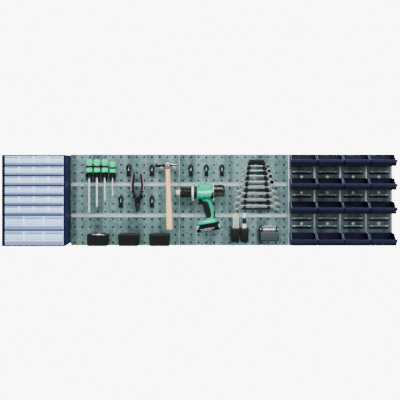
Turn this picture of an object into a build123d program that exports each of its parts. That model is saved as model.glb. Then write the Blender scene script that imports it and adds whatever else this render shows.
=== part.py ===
from build123d import *
import math
import os

# Pegboard tool wall, in millimetres. +X is to the right, +Z is up, and the front faces -Y.
# The origin is on the wall face, y = 0, at the middle of the wall's length and height.

# ---- driving dimensions ----
HALF_HEIGHT = 223          # panels, above and below the origin
PANEL_DEPTH = 20           # from the wall to the front of the sheet
SHEET = 1.5
HOLE_PITCH = 38
HOLE_RADIUS = 4.75
HOLE_COLUMNS = 14
HOLE_ROWS = 12
PANEL_WIDTH = HOLE_PITCH * HOLE_COLUMNS - 1
PANEL_LEFTS = {"tool_panel_left": -636.5, "tool_panel_right": -104.5}
BIN_PANEL_LEFT, BIN_PANEL_RIGHT = 429, 939
WALL_SCREW_RADIUS = 3
RETURN_LIP = 12
FRONT = -PANEL_DEPTH

RAIL_HEIGHT, RAIL_PROUD, RAIL_Z = 16, 3, 76

BIN_COLUMNS_X = (495, 621, 747, 873)
BIN_TOPS_Z = (221, 107, -7, -159)
BIN_WIDTH, BIN_HEIGHT, BIN_WALL = 122, 56, 2
BIN_BACK, BIN_FRONT = -27, -135
LOUVRE_WIDTH, LOUVRE_HEIGHT, LOUVRE_PROUD = 95, 14.5, 6
LOUVRE_TOP_Z = 216.5
LOUVRE_ROWS = 11
WALL_SCREW_Z = 136

CABINET_LEFT, CABINET_RIGHT = -939, -639
CABINET_TOP, CABINET_BOTTOM = 219, -213
CABINET_DEPTH = 150
CABINET_SHEET = 1.5
TOP_RIM, BOTTOM_RIM, SIDE_RIM = 6, 5.6, 8
THIN_PITCH, TALL_PITCH = 46.5, 70.7
DRAWER_PITCHES = [THIN_PITCH] * 6 + [TALL_PITCH] * 2
DRAWER_WALL = 1.8
SHELF_UP, SHELF_DOWN = 3, 2
LEDGE_PROUD = 11

CLIP_CENTRES = ((-352, 146), (-238, 146), (-390, -8), (-238, -8), (-48, 146), (28, 146), (104, 146))
SCREWDRIVER_X = (-542, -504, -466, -428)
SCREWDRIVER_TIP_Z = (-61, -31, -3, 18)
SCREWDRIVER_TOP_Z = (199, 199, 199, 186)
SCREWDRIVER_Y = -47
BLADE_RADIUS = (4.4, 4.8, 3.8, 3)
HOLDER_TOP_Z, HOLDER_BOTTOM_Z = 129, 95

HAMMER_X, HAMMER_Y, HAMMER_Z = -160, -56, 170
HAMMER_TILT = 1.75
PLIERS_X, PLIERS_Y, PLIERS_Z = -307, -45, 10
DRILL_Y, CHUCK_Z = -66, 38
BATTERY_TILT = 9
RACK_X = 273
SPANNER_Z = (166, 143, 117, 89, 61, 31, 1, -30)
SPANNER_LENGTHS = (118, 134, 150, 166, 182, 198, 214, 230)
CUP_LEFTS = (146, 193)
CUP_WIDTHS = (43, 40)
CUP_TOP, CUP_BOTTOM = -135, -203
BIT_BOX = (291, 375, -62, -24, -194, -138)
TRAY_CENTRES = (-495, -346, -198)
TRAY_WIDTH, TRAY_TOP, TRAY_BOTTOM = 98, -163, -218


# ---- shape helpers ----
def block(x_low, x_high, y_low, y_high, z_low, z_high):
    middle = Pos((x_low + x_high) / 2, (y_low + y_high) / 2, (z_low + z_high) / 2)
    return middle * Box(x_high - x_low, y_high - y_low, z_high - z_low)


def rounded_block(x_low, x_high, y_low, y_high, z_low, z_high, radius, axis=Axis.Z):
    body = block(x_low, x_high, y_low, y_high, z_low, z_high)
    return fillet(body.edges().filter_by(axis), radius)


def rod(start, end, radius):
    path = Vector(*end) - Vector(*start)
    return Solid.make_cylinder(radius, path.length, Plane(origin=start, z_dir=path))


def prism(points, sweep):
    """A flat polygon given by its corners in space, carried along one vector."""
    outline = Wire.make_polygon([Vector(*point) for point in points], close=True)
    return Solid.extrude(Face(outline), Vector(*sweep))


def side_prism(outline, x_low, x_high):
    """An outline of (y, z) corners, carried along X."""
    return prism([(x_low, y, z) for y, z in outline], (x_high - x_low, 0, 0))


def front_prism(outline, y_low, y_high):
    """An outline of (x, z) corners, carried along Y."""
    return prism([(x, y_low, z) for x, z in outline], (0, y_high - y_low, 0))


def turned(profile, centre, axis):
    """A profile of (distance along the axis, radius) pairs, turned about the axis."""
    start = profile[0][0]
    end = profile[-1][0]
    corners = [(start, 0)] + list(profile) + [(end, 0)]
    outline = Wire.make_polygon([Vector(radius, 0, along) for along, radius in corners], close=True)
    body = Solid.revolve(Face(outline), 360, Axis.Z)
    return Plane(origin=centre, z_dir=axis).location * body


def upright(profile, x, y):
    return turned([(z, radius) for z, radius in profile], (x, y, 0), (0, 0, 1))


# ---- panels ----
def folded_frame(left, right):
    """Four folded edges from the sheet back to the wall, with return lips flat on the wall."""
    edges = block(left, right, FRONT, 0, -HALF_HEIGHT, HALF_HEIGHT)
    edges -= block(left + SHEET, right - SHEET, FRONT, 0, -HALF_HEIGHT + SHEET, HALF_HEIGHT - SHEET)
    lips = block(left + SHEET, right - SHEET, -SHEET, 0, -HALF_HEIGHT + SHEET, HALF_HEIGHT - SHEET)
    lips -= block(left + RETURN_LIP, right - RETURN_LIP, -SHEET, 0,
                  -HALF_HEIGHT + RETURN_LIP, HALF_HEIGHT - RETURN_LIP)
    return edges + lips


def hole_places(left):
    """Hole centres of one tool panel, row by row, each half a pitch in from the sheet's edges."""
    first_x = left + PANEL_WIDTH / 2 - HOLE_PITCH * (HOLE_COLUMNS - 1) / 2
    first_z = -HOLE_PITCH * (HOLE_ROWS - 1) / 2
    for row in range(HOLE_ROWS):
        for column in range(HOLE_COLUMNS):
            yield first_x + HOLE_PITCH * column, first_z + HOLE_PITCH * row


def tool_panel(left):
    """Perforated sheet with folded edges."""
    right = left + PANEL_WIDTH
    corners = ((left, -HALF_HEIGHT), (right, -HALF_HEIGHT), (right, HALF_HEIGHT), (left, HALF_HEIGHT))
    outline = Wire.make_polygon([Vector(x, FRONT, z) for x, z in corners], close=True)
    holes = [Wire.make_circle(HOLE_RADIUS, Plane(origin=(x, FRONT, z), z_dir=(0, 1, 0)))
             for x, z in hole_places(left)]
    sheet = Solid.extrude(Face(outline, holes), Vector(0, SHEET, 0))
    return folded_frame(left, right) + sheet


def louvre(x, top):
    """Hood that stands out of the sheet, open at the top, closed at its foot and both ends."""
    half = LOUVRE_WIDTH / 2
    wall = 1.2
    out = FRONT - LOUVRE_PROUD
    shell = side_prism([(FRONT, top - LOUVRE_HEIGHT), (out, top - 6), (out, top), (FRONT, top)],
                       x - half, x + half)
    hollow = side_prism([(FRONT, top - LOUVRE_HEIGHT + 3), (out + wall, top - 5.4), (out + wall, top),
                         (FRONT, top)], x - half + wall, x + half - wall)
    return shell - hollow


def bin_panel():
    """Sheet with folded edges and rows of hoods that the bins hang on."""
    left, right = BIN_PANEL_LEFT, BIN_PANEL_RIGHT
    corners = ((left, -HALF_HEIGHT), (right, -HALF_HEIGHT), (right, HALF_HEIGHT), (left, HALF_HEIGHT))
    outline = Wire.make_polygon([Vector(x, FRONT, z) for x, z in corners], close=True)
    openings = []
    hoods = []
    for row in range(LOUVRE_ROWS):
        top = LOUVRE_TOP_Z - HOLE_PITCH * row
        for x in BIN_COLUMNS_X:
            low_x, high_x = x - LOUVRE_WIDTH / 2 + 4, x + LOUVRE_WIDTH / 2 - 4
            slot = [(low_x, top - 9), (high_x, top - 9), (high_x, top - 1), (low_x, top - 1)]
            openings.append(Wire.make_polygon([Vector(a, FRONT, b) for a, b in slot], close=True))
            hoods.append(louvre(x, top))
    for x in bin_screw_columns():
        for z in (-WALL_SCREW_Z, WALL_SCREW_Z):
            openings.append(Wire.make_circle(WALL_SCREW_RADIUS, Plane(origin=(x, FRONT, z), z_dir=(0, 1, 0))))
    sheet = Solid.extrude(Face(outline, openings), Vector(0, SHEET, 0))
    return folded_frame(left, right) + sheet + hoods


def bin_screw_columns():
    """The plain strips between the first two and the last two columns of hoods."""
    return ((BIN_COLUMNS_X[0] + BIN_COLUMNS_X[1]) / 2, (BIN_COLUMNS_X[2] + BIN_COLUMNS_X[3]) / 2)


def rail(left, z):
    """Flat bar with round ends and a raised line along its upper and lower edges."""
    inset = 2
    low_x, high_x = left + inset, left + PANEL_WIDTH - inset
    half = RAIL_HEIGHT / 2
    bar = rounded_block(low_x, high_x, FRONT - RAIL_PROUD, FRONT, z - half, z + half, half - 0.01, Axis.Y)
    groove = rounded_block(low_x + 2.5, high_x - 2.5, FRONT - RAIL_PROUD, FRONT - RAIL_PROUD + 1.2,
                           z - half + 2.5, z + half - 2.5, half - 2.6, Axis.Y)
    return bar - groove


def screw_head(x, y, z, radius=4.5, height=2.4):
    """Low domed head whose flat side is at y."""
    return turned([(0, radius), (height * 0.5, radius * 0.85), (height, radius * 0.45)], (x, y, z), (0, -1, 0))


def panel_screws():
    """Rail screws near each rail's ends, and the screws down the middle of each column of hoods."""
    heads = []
    rail_face = FRONT - RAIL_PROUD + 1.2
    for left in PANEL_LEFTS.values():
        for x in (left + 73, left + PANEL_WIDTH - 68):
            for z in (-RAIL_Z, RAIL_Z):
                heads.append(screw_head(x, rail_face, z))
    for x in BIN_COLUMNS_X:
        for row in (2, 4, 8):
            heads.append(screw_head(x, FRONT, LOUVRE_TOP_Z - HOLE_PITCH * row - 28, 6, 2))
    return heads


def rear_channels():
    """One channel behind each panel, welded to the sheet, whose web lies flat on the wall."""
    half, wall = 12, 1.5
    back_of_sheet = FRONT + SHEET
    lefts = list(PANEL_LEFTS.values()) + [BIN_PANEL_LEFT]
    rights = [left + PANEL_WIDTH for left in PANEL_LEFTS.values()] + [BIN_PANEL_RIGHT]
    channels = []
    for left, right in zip(lefts, rights):
        outer = block(left + 14, right - 14, back_of_sheet, 0, -half, half)
        channels.append(outer - block(left + 14, right - 14, back_of_sheet, -wall, -half + wall, half - wall))
    return channels


# ---- drawer cabinet ----
def shelf_lines():
    """Heights of the lines under each drawer, from the top one down."""
    line = CABINET_TOP - TOP_RIM
    for pitch in DRAWER_PITCHES:
        line -= pitch
        yield line


def cabinet_shell():
    """Casing open at the front, with a folded rim around the opening and four wall-screw holes."""
    left, right, top, bottom = CABINET_LEFT, CABINET_RIGHT, CABINET_TOP, CABINET_BOTTOM
    wall = CABINET_SHEET
    body = block(left, right, -CABINET_DEPTH, 0, bottom, top)
    body = fillet(body.edges().filter_by(Axis.Y), 2)
    body -= block(left + wall, right - wall, -CABINET_DEPTH + wall, -wall, bottom + wall, top - wall)
    body -= block(left + SIDE_RIM, right - SIDE_RIM, -CABINET_DEPTH, -CABINET_DEPTH + wall,
                  bottom + BOTTOM_RIM, top - TOP_RIM)
    for x in (left + 50, right - 50):
        for z in (bottom + 66, top - 66):
            body -= rod((x, -wall - 1, z), (x, 1, z), WALL_SCREW_RADIUS)
    return body


def cabinet_shelves():
    """Folded shelves between the drawers, and the floor that the lowest drawer slides on."""
    low_x, high_x = CABINET_LEFT + CABINET_SHEET, CABINET_RIGHT - CABINET_SHEET
    rim_x = (CABINET_LEFT + SIDE_RIM, CABINET_RIGHT - SIDE_RIM)
    front, back = -CABINET_DEPTH + CABINET_SHEET, -CABINET_SHEET
    shelves = []
    lines = list(shelf_lines())
    for line in lines[:-1]:
        plate = block(low_x, high_x, front, back, line + SHELF_UP - CABINET_SHEET, line + SHELF_UP)
        nose = block(rim_x[0], rim_x[1], -CABINET_DEPTH, front, line - SHELF_DOWN, line + SHELF_UP)
        shelves.append(plate + nose)
    floor_top = CABINET_BOTTOM + BOTTOM_RIM
    shelves.append(block(low_x, high_x, front, back, floor_top - CABINET_SHEET, floor_top))
    return shelves


def drawer(number):
    """Clear tray with a finger ledge along its front, and loose dividers."""
    lines = [CABINET_TOP - TOP_RIM] + list(shelf_lines())
    is_top, is_last = number == 0, number == len(DRAWER_PITCHES) - 1
    bottom = CABINET_BOTTOM + BOTTOM_RIM + 0.4 if is_last else lines[number + 1] + SHELF_UP + 0.4
    top = lines[number] - (0 if is_top else SHELF_DOWN) - 0.7
    left, right = CABINET_LEFT + SIDE_RIM + 0.7, CABINET_RIGHT - SIDE_RIM - 0.7
    back, front, wall = -6, -CABINET_DEPTH - 2, DRAWER_WALL
    tray = block(left, right, front, back, bottom, top)
    tray -= block(left + wall, right - wall, front + wall, back - wall, bottom + wall, top)
    ledge = side_prism([(front, bottom), (front - LEDGE_PROUD, bottom + 2), (front - LEDGE_PROUD, bottom + 10),
                        (front - LEDGE_PROUD + 3, bottom + 13), (front, bottom + 14)], left, right)
    pieces = [tray + ledge]
    compartments = 4 if DRAWER_PITCHES[number] == THIN_PITCH else 3
    pitch = (right - left) / compartments
    for index in range(1, compartments):
        x = left + pitch * index
        pieces.append(block(x - 0.8, x + 0.8, front + wall, back - wall, bottom + wall, top - 4))
    return pieces


# ---- bins and trays ----
def bin_outline(top, inset, open_top):
    """Side outline of a bin in (y, z): high back, swept-down sides, a lip that stands out in front."""
    back, front = BIN_BACK - inset, BIN_FRONT + inset
    roof = top + open_top
    lip_top, lip_foot = top - 25, top - 39 + inset * 0.75
    low_front = BIN_FRONT + 15 + inset
    floor = top - BIN_HEIGHT + inset
    return back, front, roof, lip_top, lip_foot, low_front, floor


def hang_bin(x, top):
    """Open-front bin with a hook along the top of its back."""
    back, front, roof, lip_top, lip_foot, low_front, floor = bin_outline(top, 0, 0)
    half = BIN_WIDTH / 2
    p = [Vector(x - half, y, z) for y, z in ((back, roof), (-72, roof), (-112, lip_top), (front, lip_top),
                                             (front, lip_foot), (low_front, lip_foot - 2),
                                             (low_front + 4, floor), (back, floor))]
    sweep_down = Edge.make_bezier(p[1], Vector(x - half, -92, roof), Vector(x - half, -90, lip_top), p[2])
    edges = [Edge.make_line(p[0], p[1]), sweep_down]
    edges += [Edge.make_line(p[i], p[i + 1]) for i in range(2, 7)]
    edges.append(Edge.make_line(p[7], p[0]))
    outer = Solid.extrude(Face(Wire(edges)), Vector(BIN_WIDTH, 0, 0))
    back, front, roof, _, lip_foot, low_front, floor = bin_outline(top, BIN_WALL, 5)
    hollow = side_prism([(back, roof), (front, roof), (front, lip_foot), (low_front, lip_foot - 2),
                         (low_front + 4, floor), (back, floor)], x - half + BIN_WALL, x + half - BIN_WALL)
    hook = block(x - 35, x + 35, BIN_BACK, -22.4, top - 4.2, top - 2.2)
    hook += block(x - 35, x + 35, -24.2, -22.4, top - 8.5, top - 2.2)
    return outer - hollow + hook


def tray(x):
    """Open box with a lower front, and a hook along its back that hangs on a bracket."""
    half, wall = TRAY_WIDTH / 2, 2
    back, front = FRONT - 6, -112
    outer = side_prism([(back, TRAY_TOP), (front, TRAY_TOP - 6), (front, TRAY_BOTTOM), (back, TRAY_BOTTOM)],
                       x - half, x + half)
    outer -= block(x - half + wall, x + half - wall, front + wall, back - wall, TRAY_BOTTOM + wall, TRAY_TOP)
    hook = block(x - 26, x + 26, back, FRONT - 1.9, TRAY_TOP - 3, TRAY_TOP - 1)
    return outer + hook + block(x - 26, x + 26, FRONT - 3.5, FRONT - 1.9, TRAY_TOP - 9, TRAY_TOP - 1)


def tray_bracket(x):
    """Channel on the panel whose upstand the hook of a tray sits over."""
    top = TRAY_TOP - 3.3
    outer = block(x - 30, x + 30, FRONT - 5.5, FRONT, top - 14, top)
    return outer - block(x - 30, x + 30, FRONT - 4, FRONT - 1.5, top - 12, top)


# ---- holders ----
def spring_clip(x, z):
    """Ring on a stem, moulded in one with its back plate."""
    back, front = FRONT, FRONT - 15
    ring_z = z + 16
    body = rod((x, back, ring_z), (x, front, ring_z), 12.5)
    body += block(x - 6.5, x + 6.5, front + 4, back, z - 29, ring_z - 9)
    body -= rod((x, back - 2.5, ring_z), (x, front - 1, ring_z), 6.5)
    return body


def screwdriver_holder(x):
    """Tapered ring on an arm, which a handle stands on with its blade through the ring."""
    cone = upright([(HOLDER_BOTTOM_Z, 10.5), (HOLDER_TOP_Z - 6, 15.5), (HOLDER_TOP_Z, 15.5)], x, SCREWDRIVER_Y)
    arm = block(x - 7, x + 7, SCREWDRIVER_Y + 10, FRONT, HOLDER_BOTTOM_Z + 6, HOLDER_TOP_Z - 2)
    bore = rod((x, SCREWDRIVER_Y, HOLDER_BOTTOM_Z - 1), (x, SCREWDRIVER_Y, HOLDER_TOP_Z + 1), 7.6)
    return cone + arm - bore


def peg_hook(x, z, reach, radius=3, tip=7):
    """Round peg out of a back plate, turned up at its end."""
    plate = rounded_block(x - 7, x + 7, FRONT - 2.5, FRONT, z - 7, z + 9, 3, Axis.Y)
    peg = rod((x, FRONT - 2, z), (x, FRONT - reach, z), radius)
    end = rod((x, FRONT - reach + radius, z), (x, FRONT - reach + radius, z + tip), radius)
    return plate + peg + end


def pliers_rest():
    """Rounded bar on the panel behind the pliers, wider than their joint."""
    return rounded_block(PLIERS_X - 25, PLIERS_X + 25, FRONT - 12, FRONT, PLIERS_Z - 1, PLIERS_Z + 14, 5, Axis.Y)


def tool_hooks():
    """Pairs of pegs for the hammer and the drill, a peg and a rest for the pliers, and the tray brackets."""
    hammer = [peg_hook(HAMMER_X - 31, HAMMER_Z - 17.5, 62), peg_hook(HAMMER_X + 30, HAMMER_Z - 15.5, 62)]
    pliers = [peg_hook(PLIERS_X, PLIERS_Z - 16.6, 48, 3, 1), pliers_rest()]
    drill = [peg_hook(DRILL_PEGS_X[0], DRILL_PEG_Z, 60, 3.5, 2), peg_hook(DRILL_PEGS_X[1], DRILL_PEG_Z, 60, 3.5, 2)]
    trays = [tray_bracket(x) for x in TRAY_CENTRES]
    return hammer + pliers + drill + trays


DRILL_PEGS_X = (-36.5, 61.5)
DRILL_PEG_Z = 2.5


def rack_edge_x(z, side):
    """Centre line of one upright of the spanner rack: the pair spreads downwards."""
    return RACK_X + side * (36 + (176 - z) * 0.109)


def spanner_rack():
    """Top bar and two slanted uprights, with a slot in each upright for every spanner."""
    depth_front = FRONT - 22
    body = rounded_block(RACK_X - 41, RACK_X + 41, depth_front, FRONT, 176, 197, 4, Axis.Y)
    for side in (-1, 1):
        low_x, high_x = rack_edge_x(-46, side), rack_edge_x(180, side)
        corners = [(low_x - 8, -46), (low_x + 8, -46), (high_x + 8, 180), (high_x - 8, 180)]
        body += front_prism(corners, depth_front, FRONT)
    for z, length in zip(SPANNER_Z, SPANNER_LENGTHS):
        half = spanner_section(length)[0] / 2 + 0.5
        body -= block(RACK_X - 80, RACK_X + 80, depth_front, depth_front + SLOT_DEPTH, z - half, z + half)
        for head_x, radius in spanner_heads(length):
            body -= rod((head_x, depth_front - 1, z), (head_x, depth_front + SLOT_DEPTH, z), radius + 0.6)
    rail_half = RAIL_HEIGHT / 2 + 0.5
    return body - block(RACK_X - 80, RACK_X + 80, FRONT - RAIL_PROUD - 0.4, FRONT, RAIL_Z - rail_half, RAIL_Z + rail_half)


SLOT_DEPTH = 9


def spanner_heads(length):
    """Centre and radius of the ring at the left and of the jaw at the right."""
    radius = length * 0.078
    return (RACK_X - length / 2 + radius, radius), (RACK_X + length / 2 - radius, radius * 1.05)


def spanner_section(length):
    """Height and thickness of the shank of a spanner."""
    return length * 0.05, 3.5 + length * 0.012


def spanner(z, length):
    """Combination spanner: ring at the left end, open jaw at the right end."""
    height, thickness = spanner_section(length)
    y_back = FRONT - 22 + SLOT_DEPTH - 0.5
    y_front = y_back - thickness
    (left_x, head), (right_x, jaw_radius) = spanner_heads(length)
    body = block(left_x, right_x, y_front, y_back, z - height / 2, z + height / 2)
    body += rod((left_x, y_front - 0.8, z), (left_x, y_back, z), head)
    body += rod((right_x, y_front - 0.4, z), (right_x, y_back, z), jaw_radius)
    body -= rod((left_x, y_front - 2, z), (left_x, y_back + 1, z), head * 0.6)
    jaw = block(right_x - head * 0.1, right_x + head * 2, y_front - 2, y_back + 1, z - head * 0.5, z + head * 0.5)
    return body - Pos(right_x, 0, z) * Rot(0, 15, 0) * Pos(-right_x, 0, -z) * jaw


def pen_cup(left, width):
    """Small open cup with a back plate that holds it on the panel."""
    back, front, wall = FRONT - 3, FRONT - 46, 2.2
    cup = rounded_block(left, left + width, front, back, CUP_BOTTOM, CUP_TOP, 6)
    inside = rounded_block(left + wall, left + width - wall, front + wall, back - wall,
                           CUP_BOTTOM + wall, CUP_TOP + 1, 4)
    plate = block(left + 8, left + width - 8, back, FRONT, CUP_BOTTOM + 8, CUP_TOP - 8)
    return cup - inside + plate


def pens():
    """Three hexagonal pencils, one of them leaning, and a thick marker with its cap up."""
    floor = CUP_BOTTOM + 2.7
    pieces = []
    for x, y, lean, top in ((159, -40, 0.03, -60), (170, -50, 0.02, -56), (179, -34, 0.03, -68)):
        length = top - floor - 6
        pencil = Solid.extrude(Face(Wire(RegularPolygon(3.6, 6).edges())), Vector(0, 0, length))
        tip = turned([(length, 3.1), (length + 6, 0.6)], (0, 0, 0), (0, 0, 1))
        pieces.append(Pos(x, y, floor + 0.6) * Rot(0, math.degrees(lean), 0) * (pencil + tip))
    marker_x, marker_y = 213, -44
    profile = [(floor, 10.5), (-115, 10.5), (-112, 9), (-85, 8.8), (-64, 7.8)]
    pieces.append(upright(profile, marker_x, marker_y))
    return pieces


def bit_box():
    """Grey case on a black bracket, open at the top, with two rows of bits standing in it."""
    low_x, high_x, front, back, bottom, top = BIT_BOX
    case = rounded_block(low_x, high_x, front, back, bottom, top, 3)
    case -= block(low_x + 3, high_x - 3, front + 3, back - 3, top - 16, top)
    pieces = [case]
    for row_y in (front + 12, back - 12):
        for index in range(8):
            x = low_x + 12 + index * (high_x - low_x - 24) / 7
            bit_top = top + 12 + (index * 5) % 7
            pieces.append(upright([(top - 16, 4), (bit_top - 3, 4), (bit_top, 2.5)], x, row_y))
    return pieces


def bit_bracket():
    """Plate behind the bit box with a shelf under it and a cheek at each side."""
    low_x, high_x, front, back, bottom, _ = BIT_BOX
    plate = block(low_x - 4, high_x + 4, back + 0.6, FRONT, bottom - 3, bottom + 60)
    shelf = block(low_x - 4, high_x + 4, front + 6, FRONT, bottom - 3, bottom - 0.4)
    cheeks = [block(x, x + 3.4, front + 6, FRONT, bottom - 3, bottom + 22) for x in (low_x - 4, high_x + 0.6)]
    return plate + shelf + cheeks


# ---- hand tools ----
def screwdriver(index):
    """Handle with two lobes and a waist, and a blade that stays a separate piece."""
    x, top = SCREWDRIVER_X[index], SCREWDRIVER_TOP_Z[index]
    foot = HOLDER_TOP_Z + 0.4
    radius = 15.5 if index == 3 else 17
    reach = top - foot
    lobes = ((0, 0.66), (0.05, 0.72), (0.2, 0.86), (0.34, 0.86), (0.45, 0.7), (0.52, 0.68), (0.64, 0.86),
             (0.78, 1.0), (0.9, 0.96), (0.97, 0.78), (1, 0.5))
    handle = upright([(foot + reach * part, radius * size) for part, size in lobes], x, SCREWDRIVER_Y)
    blade_top = foot + 30
    thick, tip = BLADE_RADIUS[index], SCREWDRIVER_TIP_Z[index]
    handle -= rod((x, SCREWDRIVER_Y, foot - 1), (x, SCREWDRIVER_Y, blade_top), thick)
    blade = upright([(tip, thick * 0.75), (tip + 6, thick), (blade_top, thick)], x, SCREWDRIVER_Y)
    return [handle, blade]


def hammer_tilted(piece):
    centre = Pos(HAMMER_X, HAMMER_Y, HAMMER_Z)
    return centre * Rot(0, -HAMMER_TILT, 0) * centre.inverse() * piece


def hammer_eye(grow):
    """The tapered end of the handle that fills the eye of the head."""
    return rod((HAMMER_X, HAMMER_Y, HAMMER_Z - 15), (HAMMER_X, HAMMER_Y, HAMMER_Z + 18), 8.5 + grow)


def hammer_head():
    """Forged head: square face bar, round eye boss, wedge pein."""
    x, y, z = HAMMER_X, HAMMER_Y, HAMMER_Z
    bar = rounded_block(x - 61, x - 8, y - 12, y + 12, z - 12, z + 12, 3, Axis.X)
    boss = rod((x, y, z - 14), (x, y, z + 16), 16.5)
    pein = prism([(x + 8, y - 12, z - 11), (x + 8, y - 12, z + 11), (x + 47, y - 12, z + 3),
                  (x + 47, y - 12, z - 3)], (0, 24, 0))
    return hammer_tilted(bar + boss + pein - hammer_eye(0))


def hammer_handle():
    """Oval ash handle, slimmer at the head, swelling to the grip."""
    x, y, z = HAMMER_X, HAMMER_Y, HAMMER_Z
    stations = ((-15, 12, 9.5), (-60, 10.5, 8), (-130, 12, 9), (-230, 14, 10.5), (-300, 14.5, 11), (-312, 13, 9.5))
    sections = [Face(Wire(Edge.make_ellipse(wide, deep, Plane((x, y, z + height))))) for height, wide, deep in stations]
    grip = loft(sections, ruled=True)
    return hammer_tilted(grip + hammer_eye(-0.05))


def plier_half(side, layer):
    """One forged half: a flat disc at the rivet, a jaw below it on the far side, a tang above it."""
    x, z = PLIERS_X, PLIERS_Z
    front, back = (PLIERS_Y - 6, PLIERS_Y - 0.2) if layer == 0 else (PLIERS_Y + 0.2, PLIERS_Y + 6)
    disc = rod((x, front, z), (x, back, z), 13)
    jaw = front_prism([(x - side * 12, z + 2), (x - side * 4.3, z - 9), (x - side * 4.3, z - 24),
                       (x - side * 1.5, z - 62), (x - side * 6, z - 66), (x - side * 10, z - 45),
                       (x - side * 14, z - 14)], front, back)
    tang = front_prism([(x + side * 4, z + 10), (x + side * 12.5, z + 2), (x + side * 25, z + 36),
                        (x + side * 27, z + 62), (x + side * 22, z + 62), (x + side * 19, z + 38)], front, back)
    return disc + jaw + tang


def plier_grip(side, layer):
    """Moulded sleeve around one tang, bowed outwards."""
    x, z = PLIERS_X, PLIERS_Z
    outer = [(x + side * 17, z + 34), (x + side * 27.5, z + 31), (x + side * 32, z + 62), (x + side * 29, z + 95),
             (x + side * 22, z + 119), (x + side * 14, z + 121), (x + side * 15, z + 95), (x + side * 18, z + 62)]
    sleeve = front_prism(outer, PLIERS_Y - 9.5, PLIERS_Y + 9.5)
    sleeve = fillet(sleeve.edges().filter_by(Axis.Y, reverse=True), 2.5)
    return sleeve - plier_half(side, layer)


def plier_rivet():
    """Rivet through both discs, a running fit in the second."""
    return rod((PLIERS_X, PLIERS_Y - 7.5, PLIERS_Z), (PLIERS_X, PLIERS_Y + 7.5, PLIERS_Z), 4)


def drill_tilted(piece, grow_x, grow_z):
    """Turned about Y by the tilt of the battery foot, about one point on the foot."""
    centre = Pos(grow_x, DRILL_Y, grow_z)
    return centre * Rot(0, -BATTERY_TILT, 0) * centre.inverse() * piece


FOOT_X, FOOT_Z = 33, -107


def drill_housing():
    """Motor body, slanted grip and battery foot in one moulding, with a pocket for the trigger."""
    y = DRILL_Y
    motor = rounded_block(-18, 62, y - 33, y + 33, 8, 80, 14, Axis.X)
    grip = front_prism([(4, 14), (52, 14), (54, -14), (67, -46), (67, -92), (30, -98), (18, -46)], y - 17, y + 17)
    grip = fillet(grip.edges().filter_by(Axis.Y, reverse=True), 6)
    foot = drill_tilted(rounded_block(-15, 80, y - 31, y + 31, FOOT_Z - 4, FOOT_Z + 14, 7, Axis.X), FOOT_X, FOOT_Z)
    body = motor + grip + foot
    body -= block(4, 22, y - 8.4, y + 8.4, -21.5, 6.2)
    return body


def drill_trigger():
    """Finger trigger that runs back into the grip."""
    y = DRILL_Y
    shape = [(-13, 5.7), (13.5, 5.7), (13.5, -21), (2, -21), (-8, -15), (-7, -6)]
    return front_prism(shape, y - 8, y + 8)


def drill_battery():
    """Slide-on battery under the foot."""
    y = DRILL_Y
    pack = rounded_block(-24, 90, y - 33, y + 33, FOOT_Z - 40, FOOT_Z - 4.5, 6, Axis.Y)
    return drill_tilted(pack, FOOT_X, FOOT_Z)


def write_part(name, pieces):
    if isinstance(pieces, (list, tuple)):
        solids = []
        for piece in pieces:
            solids.extend(piece.solids())
        pieces = Compound(children=[Solid(solid.wrapped) for solid in solids])
    export_step(pieces, os.path.join("parts", name + ".step"))


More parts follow.
